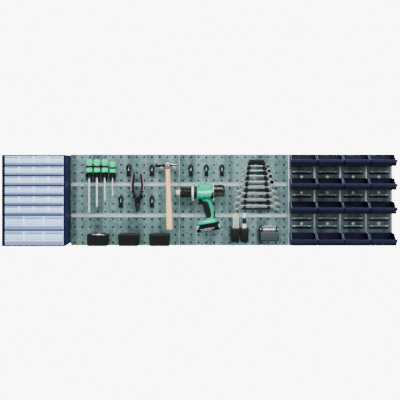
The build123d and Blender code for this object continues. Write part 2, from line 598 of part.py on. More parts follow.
def main():
    os.makedirs("parts", exist_ok=True)
    for name, left in PANEL_LEFTS.items():
        write_part(name, tool_panel(left))
    write_part("bin_panel", bin_panel())
    write_part("panel_rails", [rail(left, z) for left in PANEL_LEFTS.values() for z in (RAIL_Z, -RAIL_Z)])
    write_part("panel_screws", panel_screws())
    write_part("rear_channels", rear_channels())
    write_part("cabinet_shell", cabinet_shell())
    write_part("cabinet_shelves", cabinet_shelves())
    for number in range(len(DRAWER_PITCHES)):
        write_part(f"drawer_{number + 1}", drawer(number))
    for row, top in enumerate(BIN_TOPS_Z):
        for column, x in enumerate(BIN_COLUMNS_X):
            write_part(f"bin_r{row + 1}_c{column + 1}", hang_bin(x, top))
    for number, x in enumerate(TRAY_CENTRES):
        write_part(f"tray_{number + 1}", tray(x))
    write_part("spring_clips", [spring_clip(x, z) for x, z in CLIP_CENTRES])
    write_part("screwdriver_holders", [screwdriver_holder(x) for x in SCREWDRIVER_X])
    write_part("tool_hooks", tool_hooks())
    write_part("spanner_rack", spanner_rack())
    write_part("spanners", [spanner(z, length) for z, length in zip(SPANNER_Z, SPANNER_LENGTHS)])
    write_part("pen_cups", [pen_cup(left, width) for left, width in zip(CUP_LEFTS, CUP_WIDTHS)])
    write_part("pens", pens())
    write_part("bit_bracket", bit_bracket())
    write_part("bit_box", bit_box())
    for index in range(len(SCREWDRIVER_X)):
        write_part(f"screwdriver_{index + 1}", screwdriver(index))
    write_part("hammer_head", hammer_head())
    write_part("hammer_handle", hammer_handle())
    write_part("plier_half_a", plier_half(-1, 0) + plier_rivet())
    write_part("plier_half_b", plier_half(1, 1) - rod((PLIERS_X, PLIERS_Y - 9, PLIERS_Z),
                                                      (PLIERS_X, PLIERS_Y + 9, PLIERS_Z), 4.05))
    write_part("plier_grip_a", plier_grip(-1, 0))
    write_part("plier_grip_b", plier_grip(1, 1))
    axis_start = (0, DRILL_Y, CHUCK_Z)
    chuck = [(-119, 9), (-117, 11), (-99, 15), (-99, 23), (-97, 24.8), (-46, 24.8), (-43.5, 23.5)]
    write_part("drill_chuck", turned(chuck, axis_start, (1, 0, 0)))
    ring = [(-43.1, 26), (-41, 27.5), (-30, 27.5), (-29, 30.5), (-20, 31), (-18.4, 30)]
    write_part("drill_clutch_ring", turned(ring, axis_start, (1, 0, 0)))
    write_part("drill_housing", drill_housing())
    cap_start = (0, DRILL_Y, 46.5)
    cap = [(62, 30), (104, 30), (112, 27), (117, 20)]
    write_part("drill_rear_cap", turned(cap, cap_start, (1, 0, 0)))
    write_part("drill_trigger", drill_trigger())
    write_part("drill_battery", drill_battery())


main()
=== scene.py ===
import math

import bpy
import numpy as np
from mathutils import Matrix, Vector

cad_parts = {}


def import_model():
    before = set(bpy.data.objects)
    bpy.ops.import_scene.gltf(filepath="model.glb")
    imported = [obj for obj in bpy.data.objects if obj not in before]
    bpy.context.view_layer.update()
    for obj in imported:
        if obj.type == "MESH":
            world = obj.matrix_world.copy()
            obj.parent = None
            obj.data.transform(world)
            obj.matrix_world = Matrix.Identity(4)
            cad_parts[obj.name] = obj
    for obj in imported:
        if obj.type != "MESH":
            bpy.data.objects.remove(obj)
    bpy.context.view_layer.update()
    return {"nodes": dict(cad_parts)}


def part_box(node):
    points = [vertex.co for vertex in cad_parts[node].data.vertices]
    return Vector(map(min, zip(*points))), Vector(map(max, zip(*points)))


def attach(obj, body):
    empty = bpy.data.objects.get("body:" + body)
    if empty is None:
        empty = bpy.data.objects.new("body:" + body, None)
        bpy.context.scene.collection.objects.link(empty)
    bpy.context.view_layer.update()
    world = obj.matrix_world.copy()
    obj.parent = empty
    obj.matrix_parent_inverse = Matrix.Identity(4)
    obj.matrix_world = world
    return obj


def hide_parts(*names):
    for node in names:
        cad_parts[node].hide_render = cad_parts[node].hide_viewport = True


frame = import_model()
MM = 0.001          # shapes are in millimetres, the scene is in metres


# ------------------------------------------------------------------ shapes
class Shape:
    """Points and faces of a surface, in millimetres. Two shapes add up into one piece."""

    def __init__(self, points, faces):
        self.points = np.asarray(points, float).reshape(-1, 3)
        self.faces = faces

    def __add__(self, other):
        shift = len(self.points)
        moved = [tuple(index + shift for index in face) for face in other.faces]
        return Shape(np.vstack([self.points, other.points]), self.faces + moved)

    def moved(self, x=0.0, y=0.0, z=0.0):
        return Shape(self.points + np.array([x, y, z]), self.faces)

    def turned(self, degrees, centre, axis="y"):
        """Turned about an axis through centre: the other two coordinates swap by sine and cosine."""
        first, second = {"x": (1, 2), "y": (2, 0), "z": (0, 1)}[axis]
        angle = math.radians(degrees)
        offset = self.points - np.array(centre, float)
        result = offset.copy()
        result[:, first] = offset[:, first] * math.cos(angle) - offset[:, second] * math.sin(angle)
        result[:, second] = offset[:, first] * math.sin(angle) + offset[:, second] * math.cos(angle)
        return Shape(result + np.array(centre, float), self.faces)


def total(shapes):
    shapes = list(shapes)
    result = shapes[0]
    for shape in shapes[1:]:
        result = result + shape
    return result


def skin(rings, closed=False):
    """Quads between neighbouring rings, facing outwards. A cap covers each end ring, unless the run is closed
    and the last ring joins the first."""
    rings = np.asarray(rings, float)
    rows, count = rings.shape[:2]
    row, column = np.meshgrid(np.arange(rows if closed else rows - 1), np.arange(count), indexing="ij")
    following, below = (column + 1) % count, (row + 1) % rows
    quads = np.stack([row * count + column, row * count + following, below * count + following, below * count
        + column], axis=-1).reshape(-1, 4)
    caps = [] if closed else [np.arange(count)[::-1], np.arange(count) + (rows - 1) * count]
    fans = [np.stack([np.full(count - 2, cap[0]), cap[1:-1], cap[2:]], axis=-1) for cap in caps]
    points = rings.reshape(-1, 3)
    triangles = np.vstack([quads[:, [0, 1, 2]], quads[:, [0, 2, 3]]] + fans)
    a, b, c = (points[triangles[:, corner]] for corner in range(3))
    faces = quads.tolist() + [cap.tolist() for cap in caps]
    inside_out = np.einsum("ij,ij->i", a, np.cross(b, c)).sum() < 0
    return Shape(points, [face[::-1] for face in faces] if inside_out else faces)


def rounded(corners, radius, steps=4):
    """A closed outline whose corners become curves: each runs from one side of the corner to the other
    as (1-t)^2 start + 2t(1-t) corner + t^2 end, and starts at most 0.45 of the side away."""
    corners = np.asarray(corners, float)
    radius = np.broadcast_to(np.asarray(radius, float), len(corners))
    before = np.roll(corners, 1, axis=0) - corners
    after = np.roll(corners, -1, axis=0) - corners
    before_length = np.linalg.norm(before, axis=1)
    after_length = np.linalg.norm(after, axis=1)
    reach = np.minimum(radius, 0.45 * np.minimum(before_length, after_length))
    start = corners + before * (reach / before_length)[:, None]
    end = corners + after * (reach / after_length)[:, None]
    t = np.linspace(0, 1, steps + 1)[None, :, None]
    curve = (1 - t) ** 2 * start[:, None] + 2 * t * (1 - t) * corners[:, None] + t ** 2 * end[:, None]
    return curve.reshape(-1, 2)


def inwards(outline):
    """Unit normals of a closed outline, towards its inside."""
    along = np.roll(outline, -1, axis=0) - np.roll(outline, 1, axis=0)
    normal = np.stack([-along[:, 1], along[:, 0]], axis=1)
    normal /= np.maximum(np.linalg.norm(normal, axis=1), 1e-9)[:, None]
    x, y = outline[:, 0], outline[:, 1]
    area = (x * np.roll(y, -1) - np.roll(x, -1) * y).sum()
    return normal if area > 0 else -normal


def placed(outline, along, axis):
    """A flat outline put in space: its two coordinates are the ones that axis leaves free, in X, Y, Z order."""
    outline = np.asarray(outline, float)
    level = np.broadcast_to(np.asarray(along, float), len(outline))
    columns = {"x": (level, outline[:, 0], outline[:, 1]), "y": (outline[:, 0], level, outline[:, 1]),
        "z": (outline[:, 0], outline[:, 1], level)}[axis]
    return np.stack(columns, axis=1)


def plate(outline, low, high, rim=0.8, axis="y", steps=3):
    """An outline carried from low to high. Its rims are quarter circles: at angle t the ring has moved in
    by rim (1 - sin t) and along by rim (1 - cos t)."""
    outline = np.asarray(outline, float)
    rim = min(rim, (high - low) * 0.45)
    normal = inwards(outline)
    angles = np.linspace(0, math.pi / 2, steps + 1)
    draws = rim * (1 - np.sin(angles))
    shifts = rim * (1 - np.cos(angles))
    rings = [placed(outline + normal * draw, low + shift, axis) for draw, shift in zip(draws, shifts)]
    rings += [placed(outline + normal * draw, high - shift, axis) for draw,
        shift in zip(draws[::-1], shifts[::-1])]
    return skin(rings)


def rectangle(low, high, radius, inset=0.0, steps=4):
    """Closed outline of a rectangle with round corners, drawn in by inset on every side."""
    (x0, y0), (x1, y1) = low, high
    corners = [(x0 + inset, y0 + inset), (x1 - inset, y0 + inset), (x1 - inset, y1 - inset),
        (x0 + inset, y1 - inset)]
    return rounded(corners, max(radius - inset, 0.2), steps)


def block(low, high, radius=2, rim=1, axis="z"):
    """A box with round corners around one axis and round rims at its two ends."""
    free = [index for index in range(3) if "xyz"[index] != axis]
    along = "xyz".index(axis)
    outline = rectangle([low[i] for i in free], [high[i] for i in free], radius)
    return plate(outline, low[along], high[along], rim, axis)


def open_box(low, high, wall, radius=3, draft=0.0):
    """A box open at the top: rings go up the outside, over the round rim and down the inside to the floor.
    draft is how far the foot is drawn in from the rim."""
    flat_low, flat_high = low[:2], high[:2]
    height = high[2] - low[2]
    steps = ((draft + 1.2, low[2]), (draft, low[2] + 1.2), (0, high[2] - wall * 0.4), (wall * 0.3, high[2]),
        (wall * 0.7, high[2]), (wall, high[2] - wall * 0.4), (draft + wall, low[2] + wall
        + min(2, height * 0.1)), (draft + wall + 2, low[2] + wall))
    return skin([placed(rectangle(flat_low, flat_high, radius, inset), level, "z") for inset, level in steps])


def basis(axis):
    """Two unit vectors square to an axis and to each other."""
    axis = np.asarray(axis, float) / np.linalg.norm(axis)
    helper = np.array([0.0, 0.0, 1.0]) if abs(axis[2]) < 0.9 else np.array([1.0, 0.0, 0.0])
    first = np.cross(helper, axis)
    first /= np.linalg.norm(first)
    return axis, first, np.cross(axis, first)


FLUTE_RUN_OUT = 4


def spun(profile, centre, axis=(0, 0, 1), segments=36, flutes=0, depth=0.0, band=None):
    """A profile of (along, radius) turned about an axis. Flutes press the radius in by
    depth (1 + cos(flutes angle)) / 2, inside the band of the profile that has them."""
    profile = np.asarray(profile, float)
    axis, first, second = basis(axis)
    angle = np.linspace(0, 2 * math.pi, segments, endpoint=False)
    radius = np.broadcast_to(profile[:, 1][:, None], (len(profile), segments)).copy()
    if flutes:
        along = profile[:, 0]
        inside = np.clip((along - band[0]) / FLUTE_RUN_OUT, 0, 1) * np.clip((band[1] - along) / FLUTE_RUN_OUT,
            0, 1)
        radius *= 1 - depth * inside[:, None] * (1 + np.cos(flutes * angle))[None, :] / 2
    around = np.cos(angle)[:, None] * first + np.sin(angle)[:, None] * second
    rings = np.asarray(centre, float) + profile[:, 0][:, None, None] * axis + radius[:, :, None] * around
    return skin(rings)


def smooth_line(points, samples=8):
    """A Catmull-Rom curve through the points: each span is half of
    2b + (c-a)t + (2a-5b+4c-d)t^2 + (3b-a-3c+d)t^3."""
    points = np.asarray(points, float)
    padded = np.vstack([2 * points[0] - points[1], points, 2 * points[-1] - points[-2]])
    a, b, c, d = padded[:-3, None], padded[1:-2, None], padded[2:-1, None], padded[3:, None]
    t = np.linspace(0, 1, samples, endpoint=False)[None, :, None]
    spans = 0.5 * (2 * b + (c - a) * t + (2 * a - 5 * b + 4 * c - d) * t ** 2
        + (3 * b - a - 3 * c + d) * t ** 3)
    return np.vstack([spans.reshape(-1, points.shape[1]), points[-1:]])


def tube(path, radius, segments=12):
    """A round section carried along a path, its frame kept from twisting by dropping each step's tangent
    from the last frame."""
    path = np.asarray(path, float)
    radius = np.broadcast_to(np.asarray(radius, float), len(path))
    tangent = np.gradient(path, axis=0)
    tangent /= np.linalg.norm(tangent, axis=1)[:, None]
    angle = np.linspace(0, 2 * math.pi, segments, endpoint=False)
    side = basis(tangent[0])[1]
    rings = []
    for point, along, size in zip(path, tangent, radius):
        side = side - along * side.dot(along)
        side /= np.linalg.norm(side)
        across = np.cross(along, side)
        ring = np.cos(angle)[:, None] * side + np.sin(angle)[:, None] * across
        rings.append(point + size * ring)
    return skin(rings)


def ring_plate(outer, inner, low, high, rim=0.8, axis="y"):
    """A plate with one hole: rings run round the outside, over the rim, and back through the hole.
    Both outlines have the same number of points."""
    outer, inner = np.asarray(outer, float), np.asarray(inner, float)
    outer_in, inner_in = inwards(outer), inwards(inner)
    steps = []
    for turn in (0, 0.3, 0.6, 1):
        angle = turn * math.pi / 2
        steps.append((rim * (1 - math.sin(angle)), rim * (1 - math.cos(angle))))
    rings = [placed(outer + outer_in * draw, low + shift, axis) for draw, shift in steps]
    rings += [placed(outer + outer_in * draw, high - shift, axis) for draw, shift in steps[::-1]]
    rings += [placed(inner - inner_in * draw, high - shift, axis) for draw, shift in steps]
    rings += [placed(inner - inner_in * draw, low + shift, axis) for draw, shift in steps[::-1]]
    return skin(rings, closed=True)


def circle(x, y, radius, count=32):
    angle = np.linspace(0, 2 * math.pi, count, endpoint=False)
    return np.stack([x + radius * np.cos(angle), y + radius * np.sin(angle)], axis=1)


# ------------------------------------------------------------------ finishes
def tone(red, green, blue):
    """A display colour, 0 to 255, as the linear colour that shaders take."""
    parts = [value / 255 for value in (red, green, blue)]
    return tuple(p / 12.92 if p <= 0.04045 else ((p + 0.055) / 1.055) ** 2.4 for p in parts) + (1.0,)


class Signal:
    """A shader socket that takes part in sums. Each operator adds one Math node."""

    def __init__(self, finish, socket):
        self.finish = finish
        self.socket = socket

    def _maths(self, operation, *values):
        return self.finish.add("ShaderNodeMath", {"operation": operation}, dict(enumerate(values)))

    def __add__(self, other):
        return self._maths("ADD", self, other)

    def __rsub__(self, other):
        return self._maths("SUBTRACT", other, self)

    def __mul__(self, other):
        return self._maths("MULTIPLY", self, other)

    __radd__ = __add__
    __rmul__ = __mul__

    def above(self, level, soft):
        """0 below the level and 1 above it, with a ramp of that softness."""
        return self.finish.add("ShaderNodeMapRange", {}, {"Value": self, "From Min": level, "From Max": level
            + soft})


class Finish:
    """A material around one Principled shader. Steady values go on its sockets, varying ones are linked."""

    def __init__(self, name, colour, roughness, metallic=0.0, **steady):
        self.name = name
        self.material = bpy.data.materials.new("look_" + name)
        self.material.use_nodes = True
        self.tree = self.material.node_tree
        self.shader = self.tree.nodes["Principled BSDF"]
        self.set(**{"Base Color": colour, "Roughness": roughness, "Metallic": metallic})
        self.set(**{key.replace("_", " ").title().replace("Ior", "IOR"): value for key,
            value in steady.items()})

    def set(self, **values):
        for key, value in values.items():
            self._fill(self.shader.inputs[key], value)

    def _fill(self, socket, value):
        if isinstance(value, Signal):
            self.tree.links.new(value.socket, socket)
        else:
            socket.default_value = value

    def add(self, kind, settings, inputs, output=0):
        """One node: its settings first, then the values or links of its sockets."""
        node = self.tree.nodes.new(kind)
        for key, value in settings.items():
            setattr(node, key, value)
        for key, value in inputs.items():
            self._fill(node.inputs[key], value)
        return Signal(self, node.outputs[output])

    def place(self, scale=(1, 1, 1)):
        """Object coordinates, stretched by a scale."""
        coordinates = self.add("ShaderNodeTexCoord", {}, {}, "Object")
        return self.add("ShaderNodeMapping", {}, {"Vector": coordinates, "Scale": scale})

    def noise(self, scale, detail=3.0, stretch=(1, 1, 1), distortion=0.0):
        return self.add("ShaderNodeTexNoise", {}, {"Vector": self.place(stretch), "Scale": scale,
            "Detail": detail, "Distortion": distortion})

    def blend(self, factor, first, second):
        """A colour between two, by a factor."""
        node = self.tree.nodes.new("ShaderNodeMix")
        node.data_type = "RGBA"
        self._fill(node.inputs[0], factor)
        self._fill(node.inputs[6], first)
        self._fill(node.inputs[7], second)
        return Signal(self, node.outputs[2])

    def worn(self, colour, roughness, height, distance, strength):
        """Colour and roughness that vary, and a bump that follows height. Gives the finish back."""
        normal = self.add("ShaderNodeBump", {}, {"Height": height, "Distance": distance, "Strength": strength})
        self.set(**{"Base Color": colour, "Roughness": roughness, "Normal": normal})
        return self


def shaded(colour, factor):
    return tuple(channel * factor for channel in colour[:3]) + (1.0,)


def galvanised(name, light, dark):
    """Zinc-coated sheet: soft spangle cells, fine grain, cloudy tarnish, and long upright rolling streaks."""
    finish = Finish(name, light, 0.42, 0.75)
    cells = finish.add("ShaderNodeTexVoronoi", {}, {"Vector": finish.place(), "Scale": 90.0}, "Color")
    spangle = finish.add("ShaderNodeSeparateColor", {}, {"Color": cells})
    cloud = finish.noise(5.0, 4.0)
    grain = finish.noise(260.0, 2.0, (1, 1, 0.15))
    streak = finish.noise(16.0, 3.0, (1, 1, 0.02)).above(0.4, 0.2)
    mixed = finish.blend(streak * 0.55 + cloud * 0.15 + spangle * 0.2 + grain * 0.1, dark, light)
    return finish.worn(mixed, spangle * 0.12 + grain * 0.14 + 0.3, grain, 0.00004, 0.6)


def bright_steel():
    """Satin rail: grain drawn out along its length, small scuffs."""
    finish = Finish("bright_rail", tone(205, 222, 226), 0.34, 0.6)
    grain = finish.noise(300.0, 3.0, (0.05, 1, 1))
    scuff = finish.noise(30.0, 5.0).above(0.62, 0.1)
    mixed = finish.blend(scuff * 0.35, tone(214, 230, 232), tone(160, 176, 182))
    return finish.worn(mixed, grain * 0.2 + scuff * 0.15 + 0.24, grain, 0.00003, 0.5)


def plated(name, light, dark, roughness, metallic=1.0):
    """Polished or plated metal with faint handling marks."""
    finish = Finish(name, light, roughness, metallic)
    marks = finish.noise(80.0, 4.0)
    fine = finish.noise(400.0, 2.0)
    mixed = finish.blend(marks, dark, light)
    return finish.worn(mixed, fine * 0.16 + roughness, fine, 0.00002, 0.5)


def painted(name, colour, roughness, **steady):
    """Sprayed enamel: orange peel under a clear gloss, with dust-dull patches."""
    finish = Finish(name, colour, roughness, coat_roughness=0.1, **steady)
    peel = finish.noise(420.0, 2.0)
    dust = finish.noise(7.0, 5.0)
    finish.set(**{"Coat Weight": 0.16 - dust * 0.16})
    mixed = finish.blend(dust, shaded(colour, 0.75), shaded(colour, 1.3))
    return finish.worn(mixed, dust * 0.14 + roughness, peel, 0.00006, 0.35)


def moulded(name, colour, roughness=0.35, grain=0.00005, size=700.0, spread=0.15, coat=0.0, **steady):
    """Injection-moulded plastic: a spark-eroded grain, slow colour drift, rubbed patches."""
    finish = Finish(name, colour, roughness, coat_weight=coat, coat_roughness=0.12, **steady)
    fine = finish.noise(size, 2.0)
    drift = finish.noise(14.0, 4.0)
    mixed = finish.blend(drift, shaded(colour, 1 - spread), shaded(colour, 1 + spread))
    return finish.worn(mixed, fine * 0.14 + drift * 0.12 + (roughness - 0.12), fine, grain, 0.5)


def frosted(name, colour, shade, painted_glow, power):
    """Frosted clear plastic: milky, with flow lines and a slowly changing bluish depth; its emission is a
    painted glow that brightens it as if lit from within.
    """
    finish = Finish(name, colour, 0.2, coat_weight=0.35, coat_roughness=0.05, ior=1.5, emission_color=painted_glow,
        emission_strength=power)
    flow = finish.noise(16.0, 3.0, (0.25, 1, 1), 0.6)
    fine = finish.noise(500.0, 2.0)
    mixed = finish.blend(flow, shade, colour)
    return finish.worn(mixed, fine * 0.1 + flow * 0.1 + 0.14, flow, 0.0002, 0.25)


def ash_wood():
    """Oiled ash: growth rings cut lengthways as long streaks, darker pores."""
    # The warm emission is a painted glow that brightens the wood.
    finish = Finish("ash_wood", tone(226, 186, 130), 0.42, coat_weight=0.15, coat_roughness=0.25,
        emission_color=tone(255, 206, 150), emission_strength=0.16)
    rings = finish.noise(70.0, 3.0, (1, 1, 0.06), 1.2)
    pores = finish.noise(420.0, 2.0, (1, 1, 0.03)).above(0.56, 0.08)
    colour = finish.blend(rings.above(0.38, 0.3), tone(240, 186, 122), tone(255, 226, 172))
    mixed = finish.blend(pores * 0.4, colour, tone(172, 128, 84))
    return finish.worn(mixed, pores * 0.2 + rings * 0.15 + 0.32, pores, 0.00008, -0.4)


def knurled(name, colour, **steady):
    """Over-moulded rubber with raised diamonds."""
    finish = Finish(name, colour, 0.62, **steady)
    grid = finish.add("ShaderNodeTexVoronoi", {"feature": "DISTANCE_TO_EDGE"},
        {"Vector": finish.place((1, 1, 0.8)), "Scale": 330.0}, "Distance")
    drift = finish.noise(25.0, 3.0)
    raised = grid.above(0.06, 0.12)
    mixed = finish.blend(raised * 0.5 + drift * 0.5, shaded(colour, 0.6), shaded(colour, 1.35))
    return finish.worn(mixed, drift * 0.2 + 0.5, raised, 0.0004, 0.6)


ZINC = galvanised("galvanised_sheet", tone(150, 188, 190), tone(70, 92, 94))
DARK_ZINC = galvanised("louvre_sheet", tone(122, 146, 152), tone(58, 72, 76))
BEAD = plated("bead_zinc", tone(222, 238, 240), tone(168, 188, 192), 0.34)
RAIL = bright_steel()
SCREW = plated("plated_screw", tone(236, 238, 240), tone(180, 184, 190), 0.14)
CHROME = plated("chrome_steel", tone(226, 232, 234), tone(160, 168, 172), 0.22)
FORGED = plated("forged_steel", tone(206, 206, 198), tone(134, 136, 130), 0.26)
BLUED = plated("blued_steel", tone(62, 64, 70), tone(22, 24, 28), 0.3)
SATIN = plated("satin_blade", tone(244, 250, 252), tone(212, 224, 230), 0.26, 0.3)
NOSE = plated("chuck_nose", tone(250, 244, 226), tone(214, 204, 182), 0.3, 0.3)
PITCH = moulded("battery_black", tone(4, 6, 7), 0.6, specular_ior_level=0.14)
NAVY_PAINT = painted("navy_paint", tone(4, 7, 52), 0.45, specular_ior_level=0.16)
INK = moulded("navy_ink", tone(6, 6, 58), 0.6, 0.00003, 600.0, 0.2, specular_ior_level=0.1)
NAVY = moulded("navy_plastic", tone(5, 8, 36), 0.45, 0.00003, 600.0, 0.25, specular_ior_level=0.16)
# lit copy of the bins' navy: the lip is painted lighter, and the darker bodies paint the shade inside the bins
LIT_NAVY_LIP = moulded("navy_lip_lit", tone(17, 17, 50), 0.4, 0.00003, 600.0, 0.15, specular_ior_level=0.3)
RIM_HIGHLIGHT = moulded("navy_rim_highlight", tone(96, 106, 130), 0.22, 0.00003, 600.0, 0.3, 0.3)
# The four frosted finishes glow by emission: painted light that brightens the drawer fronts.
FROST = frosted("clear_plastic", tone(206, 236, 255), tone(160, 202, 252), tone(176, 218, 252), 0.62)
LABEL = frosted("label_strip", tone(124, 150, 228), tone(96, 124, 206), tone(120, 140, 230), 0.14)
LILAC = frosted("lilac_band", tone(150, 166, 214), tone(116, 134, 196), tone(120, 140, 220), 0.16)
GLOW_BARS = frosted("divider_glow_bars", tone(246, 252, 255), tone(230, 242, 252), tone(226, 240, 255), 0.8)
BLACK = moulded("black_plastic", tone(10, 12, 12), 0.5, specular_ior_level=0.22)
# near-black sheet used as painted shade, behind the panel holes and under the louvres
SHADE_LINER = moulded("painted_shade_liner", tone(18, 20, 21), 0.8)
GREEN = moulded("green_plastic", tone(0, 218, 148), 0.2, 0.00003, 500.0, 0.12, 0.3, specular_ior_level=0.3)
TEAL = moulded("teal_plastic", tone(0, 168, 132), 0.4, 0.00006, 650.0, 0.1, specular_ior_level=0.16)
GREY = moulded("grey_plastic", tone(52, 62, 66), 0.5, specular_ior_level=0.3)
PALE = moulded("pale_plastic", tone(225, 230, 232), 0.3)
RUBBER = knurled("dark_rubber", tone(15, 17, 18), specular_ior_level=0.2)
PINK = moulded("grip_strip", tone(176, 112, 142), 0.4)
GRIP = moulded("navy_grip", tone(8, 8, 24), 0.5, specular_ior_level=0.25)
WHITE = moulded("white_plastic", tone(240, 240, 238), 0.26)
# paler teal that paints the highlights on the drill's flank and foot
MINT_HIGHLIGHT = moulded("mint_highlight_plastic", tone(140, 246, 226), 0.22, 0.00004, 600.0, 0.08, 0.3)
GLOSS = moulded("gloss_black", tone(9, 10, 11), 0.24, 0.00002, 600.0, 0.2, 0.12)
PENCIL_A = moulded("pencil_pale", tone(222, 234, 236), 0.3, 0.00003, 500.0, 0.08, 0.3)
PENCIL_B = moulded("pencil_steel", tone(190, 206, 210), 0.3, 0.00003, 500.0, 0.1, 0.3)
WOOD = ash_wood()


def mesh_object(name, shape, finish):
    """An object in the scene, its points turned from millimetres into metres."""
    mesh = bpy.data.meshes.new(name)
    mesh.from_pydata((shape.points * MM).tolist(), [], shape.faces)
    mesh.materials.append(finish.material)
    made = bpy.data.objects.new(name, mesh)
    bpy.context.scene.collection.objects.link(made)
    return made


def piece(name, shape, finish, body="root", nodes=(), sharp=38):
    """Puts one shape into the scene: smooth but for edges sharper than the given angle."""
    made = mesh_object(name, shape, finish)
    made.data.shade_smooth()
    made.data.set_sharp_from_angle(angle=math.radians(sharp))
    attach(made, body)
    if nodes:
        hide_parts(*nodes)


def repaint(node, finish):
    for slot in frame["nodes"][node].material_slots:
        slot.material = finish.material


def corners(node):
    """A CAD node's lowest and highest corner, in millimetres."""
    low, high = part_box(node)
    return np.array(low) / MM, np.array(high) / MM


def middle(node):
    low, high = corners(node)
    return (low + high) / 2


PANELS = ("tool_panel_left", "tool_panel_right", "bin_panel")
DRAWERS = [f"drawer_{number}" for number in range(1, 9)]
BINS = [[f"bin_r{row}_c{column}" for column in range(1, 5)] for row in range(1, 5)]
TRAYS = [f"tray_{number}" for number in range(1, 4)]
DRIVERS = [f"screwdriver_{number}" for number in range(1, 5)]
FRONT = corners("tool_panel_left")[0][1]
HOLE_PITCH = 38
LOUVRE_TOP, LOUVRE_ROWS = 216.5, 11
CLIPS = ((-352, 146), (-238, 146), (-390, -8), (-238, -8), (-48, 146), (28, 146), (104, 146))
CUPS = ((146, 43), (193, 40))       # left edge and width


def liners():
    """Dark sheets close behind the perforated ones, above and below the rear channel: painted shade that stands
    for the dark gap between the panels and the wall, so that the holes look dark.
    """
    back, thick, edge, channel = 2.4, 0.8, 3, 12.6
    shapes = []
    for node in PANELS:
        low, high = corners(node)
        y = FRONT + 1.5 + back
        shapes.append(block((low[0] + edge, y, channel), (high[0] - edge, y + thick, high[2] - edge), 1))
        shapes.append(block((low[0] + edge, y, low[2] + edge), (high[0] - edge, y + thick, -channel), 1))
    piece("hole_shade_sheets", total(shapes), SHADE_LINER)
    # Bright strips in the seams between panels, and at the left edge of the right tool panel, are painted
    # highlight: the light caught along the folded panel edges.
    edges = [corners(node) for node in PANELS]
    strips = []
    for (low, high), (following, _) in zip(edges, edges[1:]):
        strips.append(block((high[0] + 0.1, FRONT + 0.4, low[2] + 1), (following[0] - 0.1, -1, high[2] - 1),
            0.3, 0.3))
    low, high = corners(PANELS[1])
    strips.append(block((low[0] - 1.9, FRONT - 0.6, low[2] + 1), (low[0] + 0.9, FRONT - 0.1, high[2] - 1), 0.2,
        0.2))
    piece("seam_highlight_strips", total(strips), BEAD)


def screw_head(x, y, z, radius, height):
    """Domed head with a round socket: its profile rises over the dome and drops into the socket."""
    profile = [(0, radius), (height * 0.35, radius * 0.99), (height * 0.75, radius * 0.78),
        (height, radius * 0.5), (height, radius * 0.36), (height * 0.45, radius * 0.33),
        (height * 0.4, radius * 0.05)]
    return spun(profile, (x, y, z), (0, -1, 0), 24)


def screws():
    """Rail screws near the ends of each rail, and low white domes down the middle of each louvre column."""
    rail_low, rail_high = corners("panel_rails")
    rail_z = (rail_low[2] + 8, rail_high[2] - 8)
    shapes, domes = [], []
    for node in PANELS[:2]:
        low, high = corners(node)
        for x in (low[0] + 73, high[0] - 68):
            shapes += [screw_head(x, rail_low[1] + 1.2, z, 5, 2.6) for z in rail_z]
    for column in range(4):
        x = middle(BINS[0][column])[0]
        for z in (112.5, 36.5, -115.5):
            domes.append(spun([(0, 7.4), (0.6, 7.2), (1.5, 5.2), (1.9, 2.6), (2, 0.4)], (x, FRONT, z),
                (0, -1, 0), 28))
    piece("screw_heads", total(shapes), SCREW, nodes=["panel_screws"])
    piece("screw_domes", total(domes), WHITE)


def louvre_trim():
    """A rolled lip with two pressed tabs on each louvre, in a bright finish that paints the light caught along
    the lip and at its ends; a dark plate that paints the shade under each hood; and ribs between columns in a
    lighter finish that paints the light they catch.
    """
    low, high = corners("bin_panel")
    lips, shades = [], []
    for column in range(4):
        x = middle(BINS[0][column])[0]
        for row in range(LOUVRE_ROWS):
            top = LOUVRE_TOP - HOLE_PITCH * row
            y = FRONT - 6
            # painted highlight: the lip and its two tabs are brighter than the sheet they are pressed from
            lips.append(tube([(x - 47, y, top - 0.4), (x + 47, y, top - 0.4)], 1.7, 8))
            for side in (-1, 1):
                lips.append(block((x + side * 36 - 5, y - 0.9, top - 4.6),
                    (x + side * 36 + 5, y + 0.4, top - 0.4), 1, 0.5, "y"))
            # painted shade: a near-black plate under the hood, where the louvre lies in its own shadow
            shade = [(FRONT - 0.2, top - 16), (y - 0.3, top - 8), (y + 1, top - 7), (FRONT + 0.4, top - 14)]
            shades.append(plate(rounded(shade, 0.4, 2), x - 46, x + 46, 0.3, "x"))
    piece("louvre_lip_highlights", total(lips), SATIN)
    piece("louvre_shades", total(shades), SHADE_LINER)
    # Upright ribs between the columns and at both edges, in a lighter finish than the sheet: painted highlight
    # of the light they catch.
    centres = [middle(name)[0] for name in BINS[0]]
    ribs = [(a + b) / 2 for a, b in zip(centres, centres[1:])] + [low[0] + 4.5, high[0] - 4.5]
    profile = [(-4.6, 0.1), (-3.6, 1.1), (-1.4, 1.9), (1.4, 1.9), (3.6, 1.1), (4.6, 0.1)]
    lands = []
    for x in ribs:
        outline = [(x + a, FRONT - b) for a, b in profile]
        lands.append(plate(rounded(outline, 0.5, 2), low[2] + 4, high[2] - 4, 0.3, "z"))
    piece("panel_land_highlights", total(lands), BEAD)


# ---- drawers
def drawer_front(low, high):
    """Bowed front: an outline of (y, z) that swells to a finger ledge low down, carried along X."""
    height = high[2] - low[2]
    back = low[1] + 11.5
    outline = [(back, 0), (back - 3, 0), (low[1] + 5.5, 0.06), (low[1] + 1.5, 0.2), (low[1], 0.29),
        (low[1], 0.34), (low[1] + 2.4, 0.38), (low[1] + 1.4, 0.6), (low[1] + 3, 0.8), (low[1] + 7, 0.94),
        (low[1] + 9.5, 1), (back, 1)]
    points = [(y, low[2] + part * height) for y, part in outline]
    return plate(rounded(points, 1.8, 3), low[0] + 2.5, high[0] - 0.5, 2, "x")


